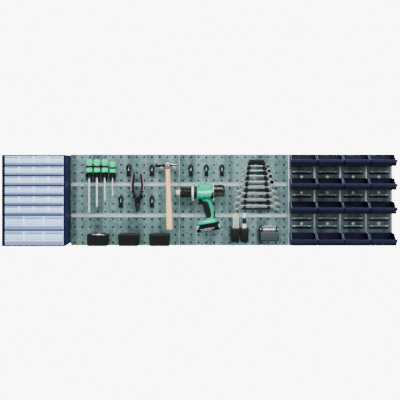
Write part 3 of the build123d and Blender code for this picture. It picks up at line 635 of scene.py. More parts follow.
def drawer_ribs(low, high, pitch=5.6):
    """Upright ribs under the ledge, where fingers pull."""
    height = high[2] - low[2]
    count = int((high[0] - low[0] - 8) / pitch)
    foot = (low[1] + 5.2, low[2] + 0.07 * height)
    head = (low[1] + 0.7, low[2] + 0.28 * height)
    start = (low[0] + high[0] - count * pitch) / 2
    return total(tube([(start + pitch * i, *foot), (start + pitch * i, *head)], 0.9, 6)
        for i in range(count + 1))


def drawers():
    """Each drawer: box with bowed front and dividers; near-white glowing bars at the dividers that paint a
    highlight; two darker bands, the lower one painting the shade under the finger ledge; ribs; and strips:
    labels partly darkened by painted shade, a line that paints the ledge's shadow, and thin upright lines.
    """
    for name in DRAWERS:
        low, high = corners(name)
        height = high[2] - low[2]
        compartments = 4 if height < 50 else 3
        low[0] += 7
        pitch = (high[0] - low[0]) / compartments
        body = open_box((low[0], low[1] + 11, low[2]), high, 1.8, 2)
        shape = body + drawer_front(low, high)
        edges = [low[0] + pitch * index for index in range(1, compartments)]
        bars = []
        for x in edges:
            divider = rectangle((low[1] + 14, low[2] + 2), (high[1] - 2, high[2] - 4), 3)
            shape = shape + plate(divider, x - 0.8, x + 0.8, 0.4, "x")
            # painted highlight: a near-white glowing bar where each divider meets the front
            bars.append(block((x - 3, low[1] + 0.5, low[2] + 0.36 * height),
                (x + 2, low[1] + 6, low[2] + 0.93 * height), 0.9, 0.8))
        piece(name + "_tray", shape, FROST, name, [name])
        piece(name + "_bars", total(bars), GLOW_BARS, name)
        # Darker lilac bands: the lower one paints the shade under the finger ledge, and the upper one darkens
        # the top slope.
        bands = [((5.2, 0.05), (1.1, 0.2), (-0.1, 0.27)), ((2.2, 0.76), (4.2, 0.85), (6.4, 0.94))]
        for number, line in enumerate(bands):
            outline = [(low[1] + a, low[2] + b * height) for a, b in line]
            outline += [(a + 1.5, b) for a, b in outline[::-1]]
            bands_low, bands_high = low[0] + 4, high[0] - 2
            piece(f"{name}_band_{number}", plate(rounded(outline, 0.3, 2), bands_low, bands_high, 0.3, "x"),
                LILAC, name)
        strips = [drawer_ribs(low, high)]
        for index in range(compartments):
            left = low[0] + pitch * index
            # label strips near the top, their darker blue partly painting the shade along the labels
            strips.append(block((left + 7, low[1] + 2.4, low[2] + 0.78 * height),
                (left + pitch - 7, low[1] + 7, low[2] + 0.88 * height), 0.8, 0.6))
            # painted shadow: a thin darker line at the step above the finger ledge
            strips.append(block((left + 5, low[1] + 0.9, low[2] + 0.355 * height),
                (left + pitch - 5, low[1] + 4, low[2] + 0.395 * height), 0.8, 0.4))
            for line in range(1, 9):
                x = left + pitch * line / 9
                strips.append(block((x - 0.5, low[1] + 1, low[2] + 0.42 * height),
                    (x + 0.5, low[1] + 4, low[2] + 0.66 * height), 0.4, 0.3))
        piece(name + "_labels_and_ledge_shade", total(strips), LABEL, name)


def cabinet_rims():
    """Folded flange down the left side's front, and a nose on the shelf under each drawer."""
    low, high = corners("cabinet_shell")
    y = low[1]
    inner = corners(DRAWERS[0])[0][0] + 5.6
    flange = block((low[0], y, low[2]), (inner, y + 1.6, high[2]), 0.8, 0.6, "y")
    piece("cabinet_flange", flange, NAVY_PAINT)
    noses = []
    for above, below in zip(DRAWERS, DRAWERS[1:]):
        (left, front, foot), top = corners(above)[0], corners(below)[1][2]
        noses.append(block((left + 8, front + 3, top + 0.4), (high[0] - 9, y + 3, foot - 0.4), 0.8, 0.6, "y"))
    left, front, foot = corners(DRAWERS[-1])[0]
    noses.append(block((low[0], front + 4, low[2]), (high[0], y + 2, foot - 0.5), 0.8, 0.6, "y"))
    piece("shelf_noses", total(noses), INK)


# ---- bins
def swept_side(low, high):
    """Outline (y, z) of a bin's side: level behind, one S-curve down to the lip, then the recessed front."""
    height = high[2] - low[2]
    back, lip_top, lip_foot = high[1] - 4.6, high[2] - 0.446 * height, high[2] - 0.696 * height
    t = np.linspace(0, 1, 13)[:, None]
    a, b = np.array([-72, high[2]]), np.array([-92, high[2]])
    c, d = np.array([-90, lip_top]), np.array([-113, lip_top])
    curve = (1 - t) ** 3 * a + 3 * t * (1 - t) ** 2 * b + 3 * t ** 2 * (1 - t) * c + t ** 3 * d
    front = [(low[1], lip_top), (low[1], lip_foot), (low[1] + 14, lip_foot - 2), (low[1] + 19, low[2]),
        (back, low[2]), (back, high[2])]
    return curve, np.array(front)


def bin_shape(low, high):
    """Two sides, a folded floor-and-front strip between them and the hanging hook."""
    wall = 2
    curve, front = swept_side(low, high)
    side = np.vstack([curve, front])
    shape = plate(side, low[0], low[0] + wall, 0.5, "x") + plate(side, high[0] - wall, high[0], 0.5, "x")
    back, floor, lip_top = front[-1][0], low[2], front[0][1]
    low_front = front[3][0]
    strip = [(back, high[2]), (back, floor), (low_front, floor), tuple(front[2]), tuple(front[1]),
        tuple(front[0]), (low[1] + wall, lip_top), (low[1] + wall, front[1][1] + 1.4),
        (front[2][0] + wall, front[2][1] + 1.4), (low_front + wall, floor + wall), (back - wall, floor + wall),
        (back - wall, high[2])]
    shape = shape + plate(rounded(strip, 0.8, 2), low[0] + wall * 0.5, high[0] - wall * 0.5, 0.3, "x")
    x = (low[0] + high[0]) / 2
    hook_x = (x - 35, x + 35)
    shape = shape + block((hook_x[0], back - 0.5, high[2] - 4.2), (hook_x[1], high[1], high[2] - 2.2), 0.6, 0.5)
    return shape + block((hook_x[0], high[1] - 1.8, high[2] - 8.5), (hook_x[1], high[1], high[2] - 2.4), 0.6,
        0.5)


def bin_rims(low, high):
    """Rolled edges down both sides, following the S-curve; bins() gives them a pale finish that paints the
    highlight along those edges.
    """
    curve, front = swept_side(low, high)
    back = front[-1][0]
    rim = smooth_line(np.vstack([[(back, high[2])], curve[::3], front[:1]]), 4)
    shapes = []
    for x in (low[0] + 1.3, high[0] - 1.3):
        path = np.column_stack([np.full(len(rim), x), rim[:, 0], rim[:, 1] - 1])
        shapes.append(tube(path, 1.5, 8))
    return total(shapes)


def bin_lip(low, high):
    """The upright band across the front, with a rounded top edge and a crease along its foot."""
    front = swept_side(low, high)[1]
    y, top, foot = low[1] - 0.1, front[0][1], front[1][1]
    outline = [(y, foot), (y + 1.4, foot), (y + 1.4, top), (y, top)]
    band_shape = plate(rounded(outline, 0.6, 2), low[0] + 0.4, high[0] - 0.4, 0.5, "x")
    edge = [(low[0] + 1, low[1] + 1.3, top - 0.8), (high[0] - 1, low[1] + 1.3, top - 0.8)]
    crease = [(low[0] + 1, low[1] + 1.1, foot + 1.2), (high[0] - 1, low[1] + 1.1, foot + 1.2)]
    return band_shape + tube(edge, 1.5, 8) + tube(crease, 1.2, 8)


def bins():
    for name in [name for row in BINS for name in row]:
        low, high = corners(name)
        # One navy plastic in two tones: the darker body paints the shade inside the bin, and the lighter lip
        # paints the light on its front.
        piece(name + "_body", bin_shape(low, high), NAVY, name, [name], sharp=30)
        piece(name + "_lip", bin_lip(low, high), LIT_NAVY_LIP, name)
        # painted highlight: the rims are much paler than the navy bin they belong to
        piece(name + "_rims", bin_rims(low, high), RIM_HIGHLIGHT, name)


def rolled_rim(low, high, inset, level, radius):
    """A round bead along the top of a box, its corners turned with a radius of 6."""
    loop = rectangle(low, high, 6, inset, 5)
    rim = np.column_stack([loop, np.full(len(loop), level)])
    return tube(np.vstack([rim, rim[:1]]), radius, 8)


def trays():
    """Black open boxes with a rolled rim, hung by a hook along the back."""
    for name in TRAYS:
        low, high = corners(name)
        back = high[1] - 4.1
        box = open_box(low, (high[0], back, high[2] - 1), 2.2, 6, 2)
        shape = box + rolled_rim(low[:2], (high[0], back), 0.4, high[2] - 2, 1.7)
        x = (low[0] + high[0]) / 2
        shape = shape + block((x - 26, back - 1, high[2] - 3), (x + 26, high[1], high[2] - 1), 0.6, 0.5)
        shape = shape + block((x - 26, high[1] - 1.6, high[2] - 9), (x + 26, high[1], high[2] - 1.2), 0.6, 0.5)
        piece(name + "_box", shape, BLACK, name, [name])


def tray_goods():
    """Two pale caps and a pink one in the first tray."""
    low, high = corners(TRAYS[0])
    top = high[2]
    x, y = (low[0] + high[0]) / 2, (low[1] + high[1]) / 2
    caps = [block((x - 8, y - 20, top - 30), (x + 14, y + 8, top + 1), 4, 3),
        block((x + 16, y - 14, top - 30), (x + 30, y + 4, top - 2), 4, 3)]
    piece("tray_goods_white", total(caps), WHITE, TRAYS[0])
    leaf = block((x - 26, y - 18, top - 30), (x - 10, y + 10, top - 2), 3, 2)
    piece("tray_goods_pink", leaf.turned(7, (x, y, top)), PINK, TRAYS[0])


# ---- shapes for the tools and their holders
def slab(outline, low, high, radius=1.0, rim=0.8, axis="y"):
    return plate(rounded(outline, radius), low, high, rim, axis)


def band(line, half, low, high, rim=0.6):
    """A strip of even width along a line seen from the front: the line moved by half its width to each side."""
    line = smooth_line(line, 6)
    along = np.gradient(line, axis=0)
    normal = np.stack([-along[:, 1], along[:, 0]], axis=1) / np.linalg.norm(along, axis=1)[:, None]
    outline = np.vstack([line + normal * half, (line - normal * half)[::-1]])
    return plate(outline, low, high, rim, "y", 2)


def beside(x, z, side, outline):
    """An outline of (across, up) moved to (x, z), and mirrored where side is -1."""
    return [(x + side * across, z + up) for across, up in outline]


def oval(centre, half_a, half_b, along, axis="z", power=2.4, count=32):
    """A superellipse |a|^p + |b|^p = 1 square to an axis."""
    angle = np.linspace(0, 2 * math.pi, count, endpoint=False)
    cosine, sine = np.cos(angle), np.sin(angle)
    a = centre[0] + half_a * np.sign(cosine) * np.abs(cosine) ** (2 / power)
    b = centre[1] + half_b * np.sign(sine) * np.abs(sine) ** (2 / power)
    return placed(np.stack([a, b], axis=1), along, axis)


def loft(stations, axis="z", power=2.4):
    """Ovals through stations of (along, low a, high a, low b, high b)."""
    return skin([oval(((a0 + a1) / 2, (b0 + b1) / 2), (a1 - a0) / 2, (b1 - b0) / 2, along, axis, power)
        for along, a0, a1, b0, b1 in stations])


PIVOT = (-307, -45, 10)


# ---- holders on the panel
def spring_clips():
    """Omega springs: a strip goes up one leg, round the ring and down the other, on a foot, round a pale pad on
    the panel that paints the bright slot inside the ring, a painted highlight.
    """
    shapes, inner = [], []
    for x, z in CLIPS:
        line = [(-7.4, -29), (-6, -17), (-5.8, -4), (-8.6, 6), (-8.9, 17), (0, 24.8), (8.9, 17), (8.6, 6),
            (5.8, -4), (6, -17), (7.4, -29)]
        strip = band(beside(x, z, 1, line), 3.2, FRONT - 15, FRONT - 0.4)
        foot = block((x - 6, FRONT - 8, z - 27), (x + 6, FRONT - 0.2, z - 8), 2, 0.8, "y")
        bolt = spun([(0, 3.4), (1.2, 3.2), (1.8, 2), (1.2, 0.4)], (x, FRONT - 8, z - 18), (0, -1, 0), 16)
        shapes += [strip, foot, bolt]
        inner.append(block((x - 3.4, FRONT - 2.4, z - 5), (x + 3.4, FRONT - 0.3, z + 19), 3, 0.9, "y"))
    piece("clip_springs", total(shapes), BLACK, nodes=["spring_clips"])
    piece("clip_slot_highlights", total(inner), PALE)


def screwdriver_holders():
    """Ribbed funnels open right through, each on an arm with a back plate."""
    shapes = []
    for name in DRIVERS:
        low, high = corners(name)
        x, y = (low[0] + high[0]) / 2, (low[1] + high[1]) / 2
        shapes.append(hollow([(110, 8), (109.6, 9.5), (110.4, 11.8), (114, 13), (115, 14.2), (117, 14.4),
            (118, 13.8), (122, 15.2), (123.5, 16.2), (128, 16.2), (129, 15.2), (128.6, 12), (120, 8.2)],
            (x, y)))
        shapes.append(block((x - 6, y + 12, 103), (x + 6, FRONT - 1, 126), 3, 1.2, "y"))
        shapes.append(block((x - 10, FRONT - 3, 92), (x + 10, FRONT - 0.2, 132), 3, 1, "y"))
        for side in (-1, 1):
            fin = [(x + side * 8, 95), (x + side * 11, 94), (x + side * 16, 112), (x + side * 17, 126),
                (x + side * 9, 124), (x + side * 8.4, 108)]
            shapes.append(slab(fin, y - 5, y + 5, 2, 1.2))
    piece("driver_funnels", total(shapes), BLACK, nodes=["screwdriver_holders"])


def hollow(profile, place, segments=36):
    """A closed profile of (z, radius) turned about an upright axis, open through its middle."""
    angle = np.linspace(0, 2 * math.pi, segments, endpoint=False)
    z, radius = np.array(profile, float).T
    rings = np.stack([place[0] + radius[:, None] * np.cos(angle), place[1] + radius[:, None] * np.sin(angle),
        np.broadcast_to(z[:, None], (len(z), segments))], axis=-1)
    return skin(rings, closed=True)


def peg(x, z, reach, radius, tip):
    """Round peg bent up at its end, out of a small plate with a dimple."""
    path = [(x, FRONT - 1, z), (x, FRONT - reach + 8, z), (x, FRONT - reach + radius + 1, z + 1),
        (x, FRONT - reach + radius, z + radius + 1), (x, FRONT - reach + radius, z + tip + radius)]
    shape = block((x - 7, FRONT - 2.5, z - 7), (x + 7, FRONT - 0.2, z + 9), 3, 0.8, "y")
    shape = shape + tube(path, [radius, radius, radius, radius * 0.96, radius * 0.7], 16)
    return shape + spun([(0, 2.2), (0.8, 2), (1, 1.2), (0.5, 0.4)], (x, FRONT - 2.4, z + 5.6), (0, -1, 0), 16)


def hooks():
    """Pegs of hammer, drill and pliers, the rest behind the pliers with its studs, and the tray brackets."""
    shapes = [peg(-191, 152.5, 62, 3, 7), peg(-130, 154.5, 62, 3, 7), peg(-36.5, 2.5, 60, 3.5, 2),
        peg(61.5, 2.5, 60, 3.5, 2), peg(-307, -6.6, 48, 3, 2)]
    x, _, z = PIVOT
    rest = block((x - 25, FRONT - 12, z - 1), (x + 25, FRONT - 0.2, z + 14), 6, 2.4, "y")
    for side in (-1, 1):
        rest = rest + spun([(0, 7), (2.4, 6.6), (3.4, 4), (3.2, 1)], (x + side * 15, FRONT - 11, z + 6.5),
            (0, -1, 0), 24)
    shapes.append(rest)
    glints = total(spun([(-2.6, 0.6), (-2, 2.2), (2, 2.2), (2.6, 0.6)], (x + side * 26, FRONT - 8, z + 9),
        segments=14) for side in (-1, 1))
    piece("rest_studs", glints, CHROME)
    for name in TRAYS:
        low, high = corners(name)
        x = (low[0] + high[0]) / 2
        shapes.append(block((x - 30, FRONT - 2.2, high[2] - 12), (x + 30, FRONT - 0.2, high[2] + 2), 2, 0.7,
            "y"))
        shapes.append(block((x - 24, high[1] + 0.4, high[2] - 9), (x + 24, high[1] + 2, high[2] - 1.4), 1, 0.5,
            "y"))
        shapes.append(block((x - 24, high[1] + 0.6, high[2] - 11), (x + 24, FRONT - 1, high[2] - 9.4), 0.6,
            0.5))
    piece("tool_pegs", total(shapes[:4]), BEAD)
    piece("panel_hooks", total(shapes[4:]), BLACK, nodes=["tool_hooks"])


# ---- hand tools
def screwdrivers():
    """Fluted handles with black waist, collar and end, over a ferrule and a round shank."""
    lobes = ((0.1, 0.86), (0.22, 0.93), (0.33, 0.9), (0.42, 0.76), (0.48, 0.7), (0.54, 0.72), (0.64, 0.9),
        (0.76, 1.0), (0.88, 0.98), (0.95, 0.86), (0.985, 0.66), (1, 0.4))
    for index, name in enumerate(DRIVERS):
        low, high = corners(name)
        x, y = (low[0] + high[0]) / 2, (low[1] + high[1]) / 2
        wide, foot = (high[0] - low[0]) / 2, 129.4
        reach = high[2] - foot
        thick = (4.4, 4.8, 3.8, 3)[index]
        handle = spun([(reach * part, wide * size) for part, size in lobes], (x, y, foot), segments=72,
            flutes=6, depth=0.34, band=(reach * 0.06, reach * 0.97))
        piece(f"{name}_handle", handle, GREEN, name, [name], sharp=50)
        waist = [(reach * 0.42, wide * 0.77), (reach * 0.44, wide * 0.79), (reach * 0.53, wide * 0.77),
            (reach * 0.55, wide * 0.72)]
        collar = [(0, wide * 0.6), (0.6, wide * 0.7), (reach * 0.04, wide * 0.78), (reach * 0.07, wide * 0.8),
            (reach * 0.08, wide * 0.74)]
        piece(f"{name}_soft_parts", spun(waist, (x, y, foot)) + spun(collar, (x, y, foot))
            + spun([(0, wide * 0.3), (1.2, wide * 0.26), (1.6, wide * 0.1)], (x, y, high[2] - 1)), BLACK, name)
        tip = low[2]
        shank = spun([(0, thick * 0.75), (1, thick * 0.8), (7, thick), (foot + 4 - tip, thick)], (x, y, tip),
            segments=28)
        ferrule = spun([(0, thick + 0.4), (1, thick + 0.7), (8, thick + 0.7), (9, thick + 0.2)],
            (x, y, foot - 6), segments=28)
        piece(f"{name}_blade", shank + ferrule, SATIN, name)


HAMMER = (-160, -56, 170)


def hammer():
    """Bar with a chamfered face, eye boss with a domed top, wedge pein; oval handle with a driven wedge."""
    x, y, z = HAMMER

    def tilted(shape):
        return shape.turned(-1.75, HAMMER)

    stations = [(-61, 10), (-60.2, 11.4), (-59, 12), (-47, 12), (-45, 11.6), (-41, 9.6), (-30, 9), (-18, 9.6),
        (-8, 10.5)]
    bar = skin([placed(rectangle((y - h, z - h * 0.8), (y + h, z + h * 0.8), h * 0.7), x + along, "x")
        for along, h in stations])
    pein = skin([placed(rectangle((y - 12, z - h), (y + 12, z + h), min(2.5, h * 0.6)), x + along, "x")
        for along, h in ((6, 9), (14, 6.4), (20, 4.2), (32, 2.8), (45, 2.2), (47, 1.6))])
    boss = spun([(-14, 14.6), (-13, 15.8), (-8, 16.5), (4, 16.5), (9, 15.8), (13, 14), (15.4, 11.4), (16, 10),
        (16.2, 4)], HAMMER, segments=48)
    piece("hammer_forging", tilted(bar + pein), BLUED, "hammer", ["hammer_head"])
    piece("hammer_boss", tilted(boss), FORGED, "hammer")
    # painted highlight: bright tubes along the top edges of the bar and the pein, where the dark head catches
    # the light from above
    crest = [(x - 60, y - 6, z + 7.2), (x - 44, y - 6, z + 7.2), (x - 38, y - 5, z + 5),
        (x - 15, y - 5, z + 5.4)]
    edge = [(x + 15, y - 11.4, z + 5), (x + 30, y - 11.6, z + 2.2), (x + 46, y - 11.6, z + 1)]
    piece("hammer_edge_highlight", tilted(tube(crest, [1.2, 2.4, 1.8, 2.2], 10) + tube(edge, [2, 1.4, 1], 8)),
        SATIN, "hammer")
    piece("hammer_eye_top", tilted(spun([(15.4, 9.6), (17.4, 9.4), (18, 8.4), (18, 1)], HAMMER)
        + block((x - 7, y - 0.8, z + 17), (x + 7, y + 0.8, z + 18.6), 0.4, 0.3)), GREY, "hammer")
    stave = ((-14, 11.4, 9), (-18, 11.6, 9.2), (-30, 11, 8.6), (-60, 10.5, 8), (-95, 11, 8.4), (-130, 12, 9),
        (-180, 13.1, 9.8), (-230, 14, 10.5), (-275, 14.6, 11), (-300, 14.8, 11.1), (-308, 14, 10.3),
        (-312, 12, 8.8))
    handle = loft([(z + height, x - wide, x + wide, y - deep, y + deep) for height, wide, deep in stave])
    piece("hammer_stave", tilted(handle), WOOD, "hammer", ["hammer_handle"])
    piece("hammer_collar", tilted(loft([(z + h, x - w, x + w, y - w * 0.8, y + w * 0.8) for h,
        w in ((-17.4, 12), (-17, 12.4), (-14.6, 12.4), (-14, 11.6))])), BLACK, "hammer")


def pliers():
    """Two forged halves on one rivet, each with a ribbed jaw, a cutter step and a two-colour sleeve."""
    x, y, z = PIVOT
    for half, side, low, high in (("a", -1, y - 6, y - 0.2), ("b", 1, y + 0.2, y + 6)):
        jaw = [(-12, 2), (-4.3, -9), (-4.6, -24), (-1.5, -62), (-3.4, -66), (-6.4, -65), (-10, -45),
            (-13.4, -26), (-14.6, -13)]
        tang = [(4, 10), (12.5, 2), (20, 18), (26, 36), (27, 62), (22, 62), (19, 38), (13, 22)]
        disc = spun([(0, 11.8), (0.8, 13), (5, 13), (5.8, 11.8)], (x, low, z), (0, 1, 0), 40)
        shape = disc + slab(beside(x, z, side, jaw), low, high, 1.6, 1.2)
        shape = shape + slab(beside(x, z, side, tang), low + 0.4, high - 0.4, 1.6, 1.2)
        grooves = total(tube([(x - side * 4.2, low + 0.6, z - level),
            (x - side * 3.2, (low + high) / 2, z - level), (x - side * 4.2, high - 0.6, z - level)], 0.7, 6)
            for level in range(26, 60, 3))
        if half == "a":
            rivet = [(-7.5, 3.2), (-7.2, 4.2), (-6, 4.6), (-5.6, 4)]
            shape = shape + spun(rivet, PIVOT, (0, 1, 0), 24)
        body = f"pliers_{half}"
        piece(f"plier_forging_{half}", shape + grooves, BLUED, body, [f"plier_half_{half}"])
        line = [(22.4, 31), (24.6, 46), (24.8, 62), (23.4, 80), (21.6, 100), (18.2, 119)]
        inner = [(x + side * (a - 1.6), z + b) for a, b in line]
        outer = [(x + side * (a + 4.4), z + b) for a, b in line[:-1]] + [(x + side * 21.6, z + 117)]
        sleeve = band(inner, 5.4, y - 9, y + 9, 3)
        guard = slab(beside(x, z, side, ((16, 30), (29, 28), (30.5, 33), (26, 38), (17, 37))), y - 8.6, y
            + 8.6, 2, 2)
        piece(f"plier_sleeve_{half}", sleeve + guard, GRIP, body, [f"plier_grip_{half}"])
        piece(f"plier_strip_{half}", band(outer, 2.6, y - 7.4, y + 7.4, 1.8), PINK, body)


# ---- drill
DRILL_Y = -66
FOOT = (33, DRILL_Y, -107)
TILT = -9
CHUCK_Z = 38


def even_loft(stations, axis, power):
    """Ovals through stations of (along, low, high, half width), even about the drill's middle plane."""
    y = DRILL_Y
    if axis == "x":
        return loft([(along, y - half, y + half, low, high) for along, low, high, half in stations], axis,
            power)
    return loft([(along, low, high, y - half, y + half) for along, low, high, half in stations], axis, power)


def drill_motor():
    """Domed motor shell, a grip that narrows behind the trigger, and a tilted battery foot."""
    y = DRILL_Y
    shell = even_loft([(-18, 10, 72, 27), (-17, 9, 75, 29), (-12, 8.4, 78, 31.5), (0, 8, 80, 33),
        (30, 8, 80, 33), (50, 9, 79.4, 32.4), (58, 11, 78, 31), (62, 14, 76, 29.5)], "x", 3.2)
    grip = even_loft([(18, 3, 56, 16), (10, 4.4, 54, 16.6), (0, 7, 52.8, 16.4), (-10, 9.4, 53.4, 16),
        (-22, 12.2, 57.4, 15.6), (-34, 15.2, 62.6, 15.4), (-46, 18.4, 66.4, 15.4), (-58, 21.8, 68, 15.6),
        (-70, 25.4, 67.8, 16.2), (-80, 28, 67.2, 17.4), (-88, 28, 68, 20), (-96, 22, 70.4, 24),
        (-103, 14, 72, 27)], "z", 2.6)
    foot = even_loft([(-111, -13, 78, 29), (-110, -15, 80, 31), (-101, -15, 80, 31), (-97, -12, 78, 30),
        (-94, -4, 72, 27), (-92.8, 6, 66, 22)], "z", 4).turned(TILT, FOOT)
    spine = tube([(47, y - 15.4, 4), (50, y - 16, -12), (56.4, y - 16, -34), (60.6, y - 15.6, -56),
        (60.6, y - 16.6, -78), (58, y - 20, -92)], [2, 2.6, 2.8, 2.6, 2.4, 2], 10)
    piece("drill_shell", shell + grip + foot + spine, TEAL, "drill", ["drill_housing"], sharp=50)


def drill_trim():
    """Lighter flank stripe and foot band that paint highlights, rubber grip, heel, selector, vents, screws and
    the rear cap's seam.
    """
    y = DRILL_Y
    stripe = [(-14, 36), (8, 33), (34, 33), (56, 39), (59, 50), (30, 47), (8, 45), (-14, 46)]
    pads = slab(stripe, y - 34.4, y - 30, 3, 1.4) + slab(stripe, y + 30, y + 34.4, 3, 1.4)
    lower = even_loft([(-103, 2, 74, 28.6), (-102, 0, 76, 31.4), (-98, 0, 76, 31.2), (-96.6, 4, 72, 29)], "z",
        4).turned(TILT, FOOT)
    piece("drill_highlight_stripes", pads + lower, MINT_HIGHLIGHT, "drill")
    seam = even_loft([(60.4, 13, 78.4, 30.6), (60.8, 12.6, 78.8, 31), (62.8, 14, 78.4, 30.8),
        (63.2, 16, 77, 30)], "x", 2.6)
    piece("drill_seam", seam, PALE, "drill")
    panel = even_loft([(-3, 11, 32, 16.6), (-6, 8.6, 38, 18), (-12, 8.6, 42.4, 18.4), (-24, 11, 46.8, 18),
        (-36, 13.8, 50.8, 17.6), (-48, 17, 54, 17.6), (-60, 20.4, 56, 17.8), (-72, 24, 56.6, 18.2),
        (-80, 27, 55.6, 18.8), (-85, 30, 53, 18)], "z", 3)
    ribs = total(tube([(17 - 0.27 * level, y - 18.6, level), (30 - 0.27 * level, y - 18.4, level - 3)], 0.8, 6)
        for level in range(-74, -14, 6))
    heel = even_loft([(-50, 63, 67.6, 10), (-54, 61.4, 69.6, 13), (-64, 60.6, 69.8, 13.6),
        (-78, 60.4, 69.4, 14.6), (-86, 62, 69, 14)], "z", 3)
    piece("drill_rubber", panel + ribs + heel, RUBBER, "drill")
    notch = block((17, y - 9, 78), (29, y + 9, 82), 3, 1.2) + block((-3, y - 5, 79), (3, y + 5, 81.4), 2, 0.8)
    flank = [(43, 9.6), (50, 15), (55, 26), (58, 40), (62, 44), (62, 13), (56, 9.6)]
    vents = slab(flank, y - 33.2, y - 20, 3, 1.4) + slab(flank, y + 20, y + 33.2, 3, 1.4)
    vents = vents + block((14, y - 33.8, 10), (24, y + 33.8, 16), 2.4, 1, "y")
    screws = total(spun([(0, 2.6), (0.8, 2.4), (0.9, 1.5), (0.2, 1.2)], (a, y - depth, b), (0, -1, 0), 14)
        for a, b, depth in ((-8, 18, 31.4), (52, 66, 31.6), (-8, 68, 30.6), (36, 14, 30.5)))
    piece("drill_dark_parts", notch + vents + screws, BLACK, "drill")


def drill_ends():
    """Keyless chuck with a knurled sleeve, clutch ring with ribs, glossy rear cap."""
    y, axis = DRILL_Y, (1, 0, 0)
    nose = spun([(-119, 5), (-118.6, 8.6), (-116, 10.6), (-104, 14), (-99, 16), (-98, 15)], (0, y, CHUCK_Z),
        axis, 40)
    jaws = total(block((-118.6, y + a - 1.6, CHUCK_Z + b - 1.6), (-112, y + a + 1.6, CHUCK_Z + b + 1.6), 0.8,
        0.5, "x") for a, b in ((0, 3.4), (-3, -1.8), (3, -1.8)))
    piece("chuck_nose", nose + jaws, NOSE, "drill_chuck", ["drill_chuck"])
    sleeve = spun([(-99.4, 15.6), (-99, 21.6), (-97.4, 24), (-93, 24.8), (-84, 24.8), (-83, 23), (-80, 23),
        (-79, 24.8), (-64, 24.8), (-62, 22.6), (-58, 22.6), (-56.6, 24.4), (-50, 24.4), (-48, 22),
        (-44, 20.5)], (0, y, CHUCK_Z), axis, 96, flutes=24, depth=0.06, band=(-97, -62))
    piece("chuck_sleeve", sleeve, BLACK, "drill_chuck", sharp=50)
    ring_light = spun([(-43.1, 22), (-42.8, 27.4), (-41.4, 28.6), (-34, 28.8), (-32.8, 27.6), (-32.6, 24)],
        (0, y, CHUCK_Z), axis, 48)
    piece("clutch_band", ring_light, PALE, "drill_clutch_ring", ["drill_clutch_ring"])
    ring_dark = spun([(-32.8, 24), (-32.4, 27.4), (-30.6, 28.4), (-21, 29), (-19, 28.4), (-18.5, 26)],
        (0, y, CHUCK_Z), axis, 96, flutes=16, depth=0.07, band=(-32, -20))
    piece("clutch_grip", ring_dark, BLACK, "drill_clutch_ring", sharp=50)
    cap = spun([(62.4, 27), (62.8, 29.8), (66, 30.2), (74, 30), (75, 29), (77, 29), (78, 30), (103, 29.8),
        (109, 28.4), (114, 25), (116.6, 20), (117, 14), (115.6, 13), (115.4, 3)], (0, y, 46.5), axis, 56)
    louvres = total(block((88 + 4.4 * i, y - 30.4, 40), (90.4 + 4.4 * i, y - 27.4, 54), 1, 0.5, "y")
        for i in range(4))
    piece("rear_cap", cap + louvres, GLOSS, "drill", ["drill_rear_cap"])


def drill_moving_parts():
    """Trigger with a curved face, and the tilted battery with its latch, blank lines and pale corners that paint
    glints at its two ends.
    """
    y = DRILL_Y
    face = [(-12.6, 5.4), (13, 5.4), (13, -20.6), (3, -20.6), (-6.6, -16), (-9, -8), (-10, 0)]
    piece("trigger_blade", slab(face, y - 7.8, y + 7.8, 3, 2.4), BLACK, "drill_trigger", ["drill_trigger"])
    foot_z = FOOT[2]
    pack = even_loft([(foot_z - 40, -22, 88, 30), (foot_z - 39.4, -23.6, 89.4, 32), (foot_z - 36, -24, 90, 33),
        (foot_z - 20, -24, 90, 33), (foot_z - 18, -22, 89, 32), (foot_z - 14, -21, 88, 31.6),
        (foot_z - 12, -22, 89, 32.4), (foot_z - 6, -22, 89, 32.4), (foot_z - 4.6, -20, 87, 31)], "z",
        7).turned(TILT, FOOT)
    latch = block((26, y - 34.6, foot_z - 15), (44, y - 31, foot_z - 7), 2, 1, "y").turned(TILT, FOOT)
    piece("battery_pack", pack + latch, PITCH, "drill_battery", ["drill_battery"], sharp=50)
    lines = block((-8, y - 33.8, foot_z - 29), (62, y - 32.4, foot_z - 26.6), 0.8, 0.5, "y")
    lines = lines + block((-2, y - 33.8, foot_z - 36), (50, y - 32.4, foot_z - 33.8), 0.8, 0.5, "y")
    # painted highlight: pale corner plates at both ends of the black battery stand for glints
    corner = slab([(-24.8, foot_z - 27), (-15, foot_z - 24), (-7, foot_z - 7), (-23, foot_z - 6.4)], y - 33.6,
        y + 33.6, 3, 1)
    corner = corner + slab([(90.8, foot_z - 34), (83, foot_z - 29), (81, foot_z - 15), (90.8, foot_z - 13)],
        y - 33.6, y + 33.6, 3, 1)
    piece("battery_lines_and_glints", (lines + corner).turned(TILT, FOOT), BEAD, "drill_battery")


# ---- spanner rack, cups and the bit box
SPANNERS = tuple(zip((166, 143, 117, 89, 61, 31, 1, -30), range(118, 240, 16)))
RACK_X = 273


def rack_edge(z, side):
    return RACK_X + side * (36 + (176 - z) * 0.109)


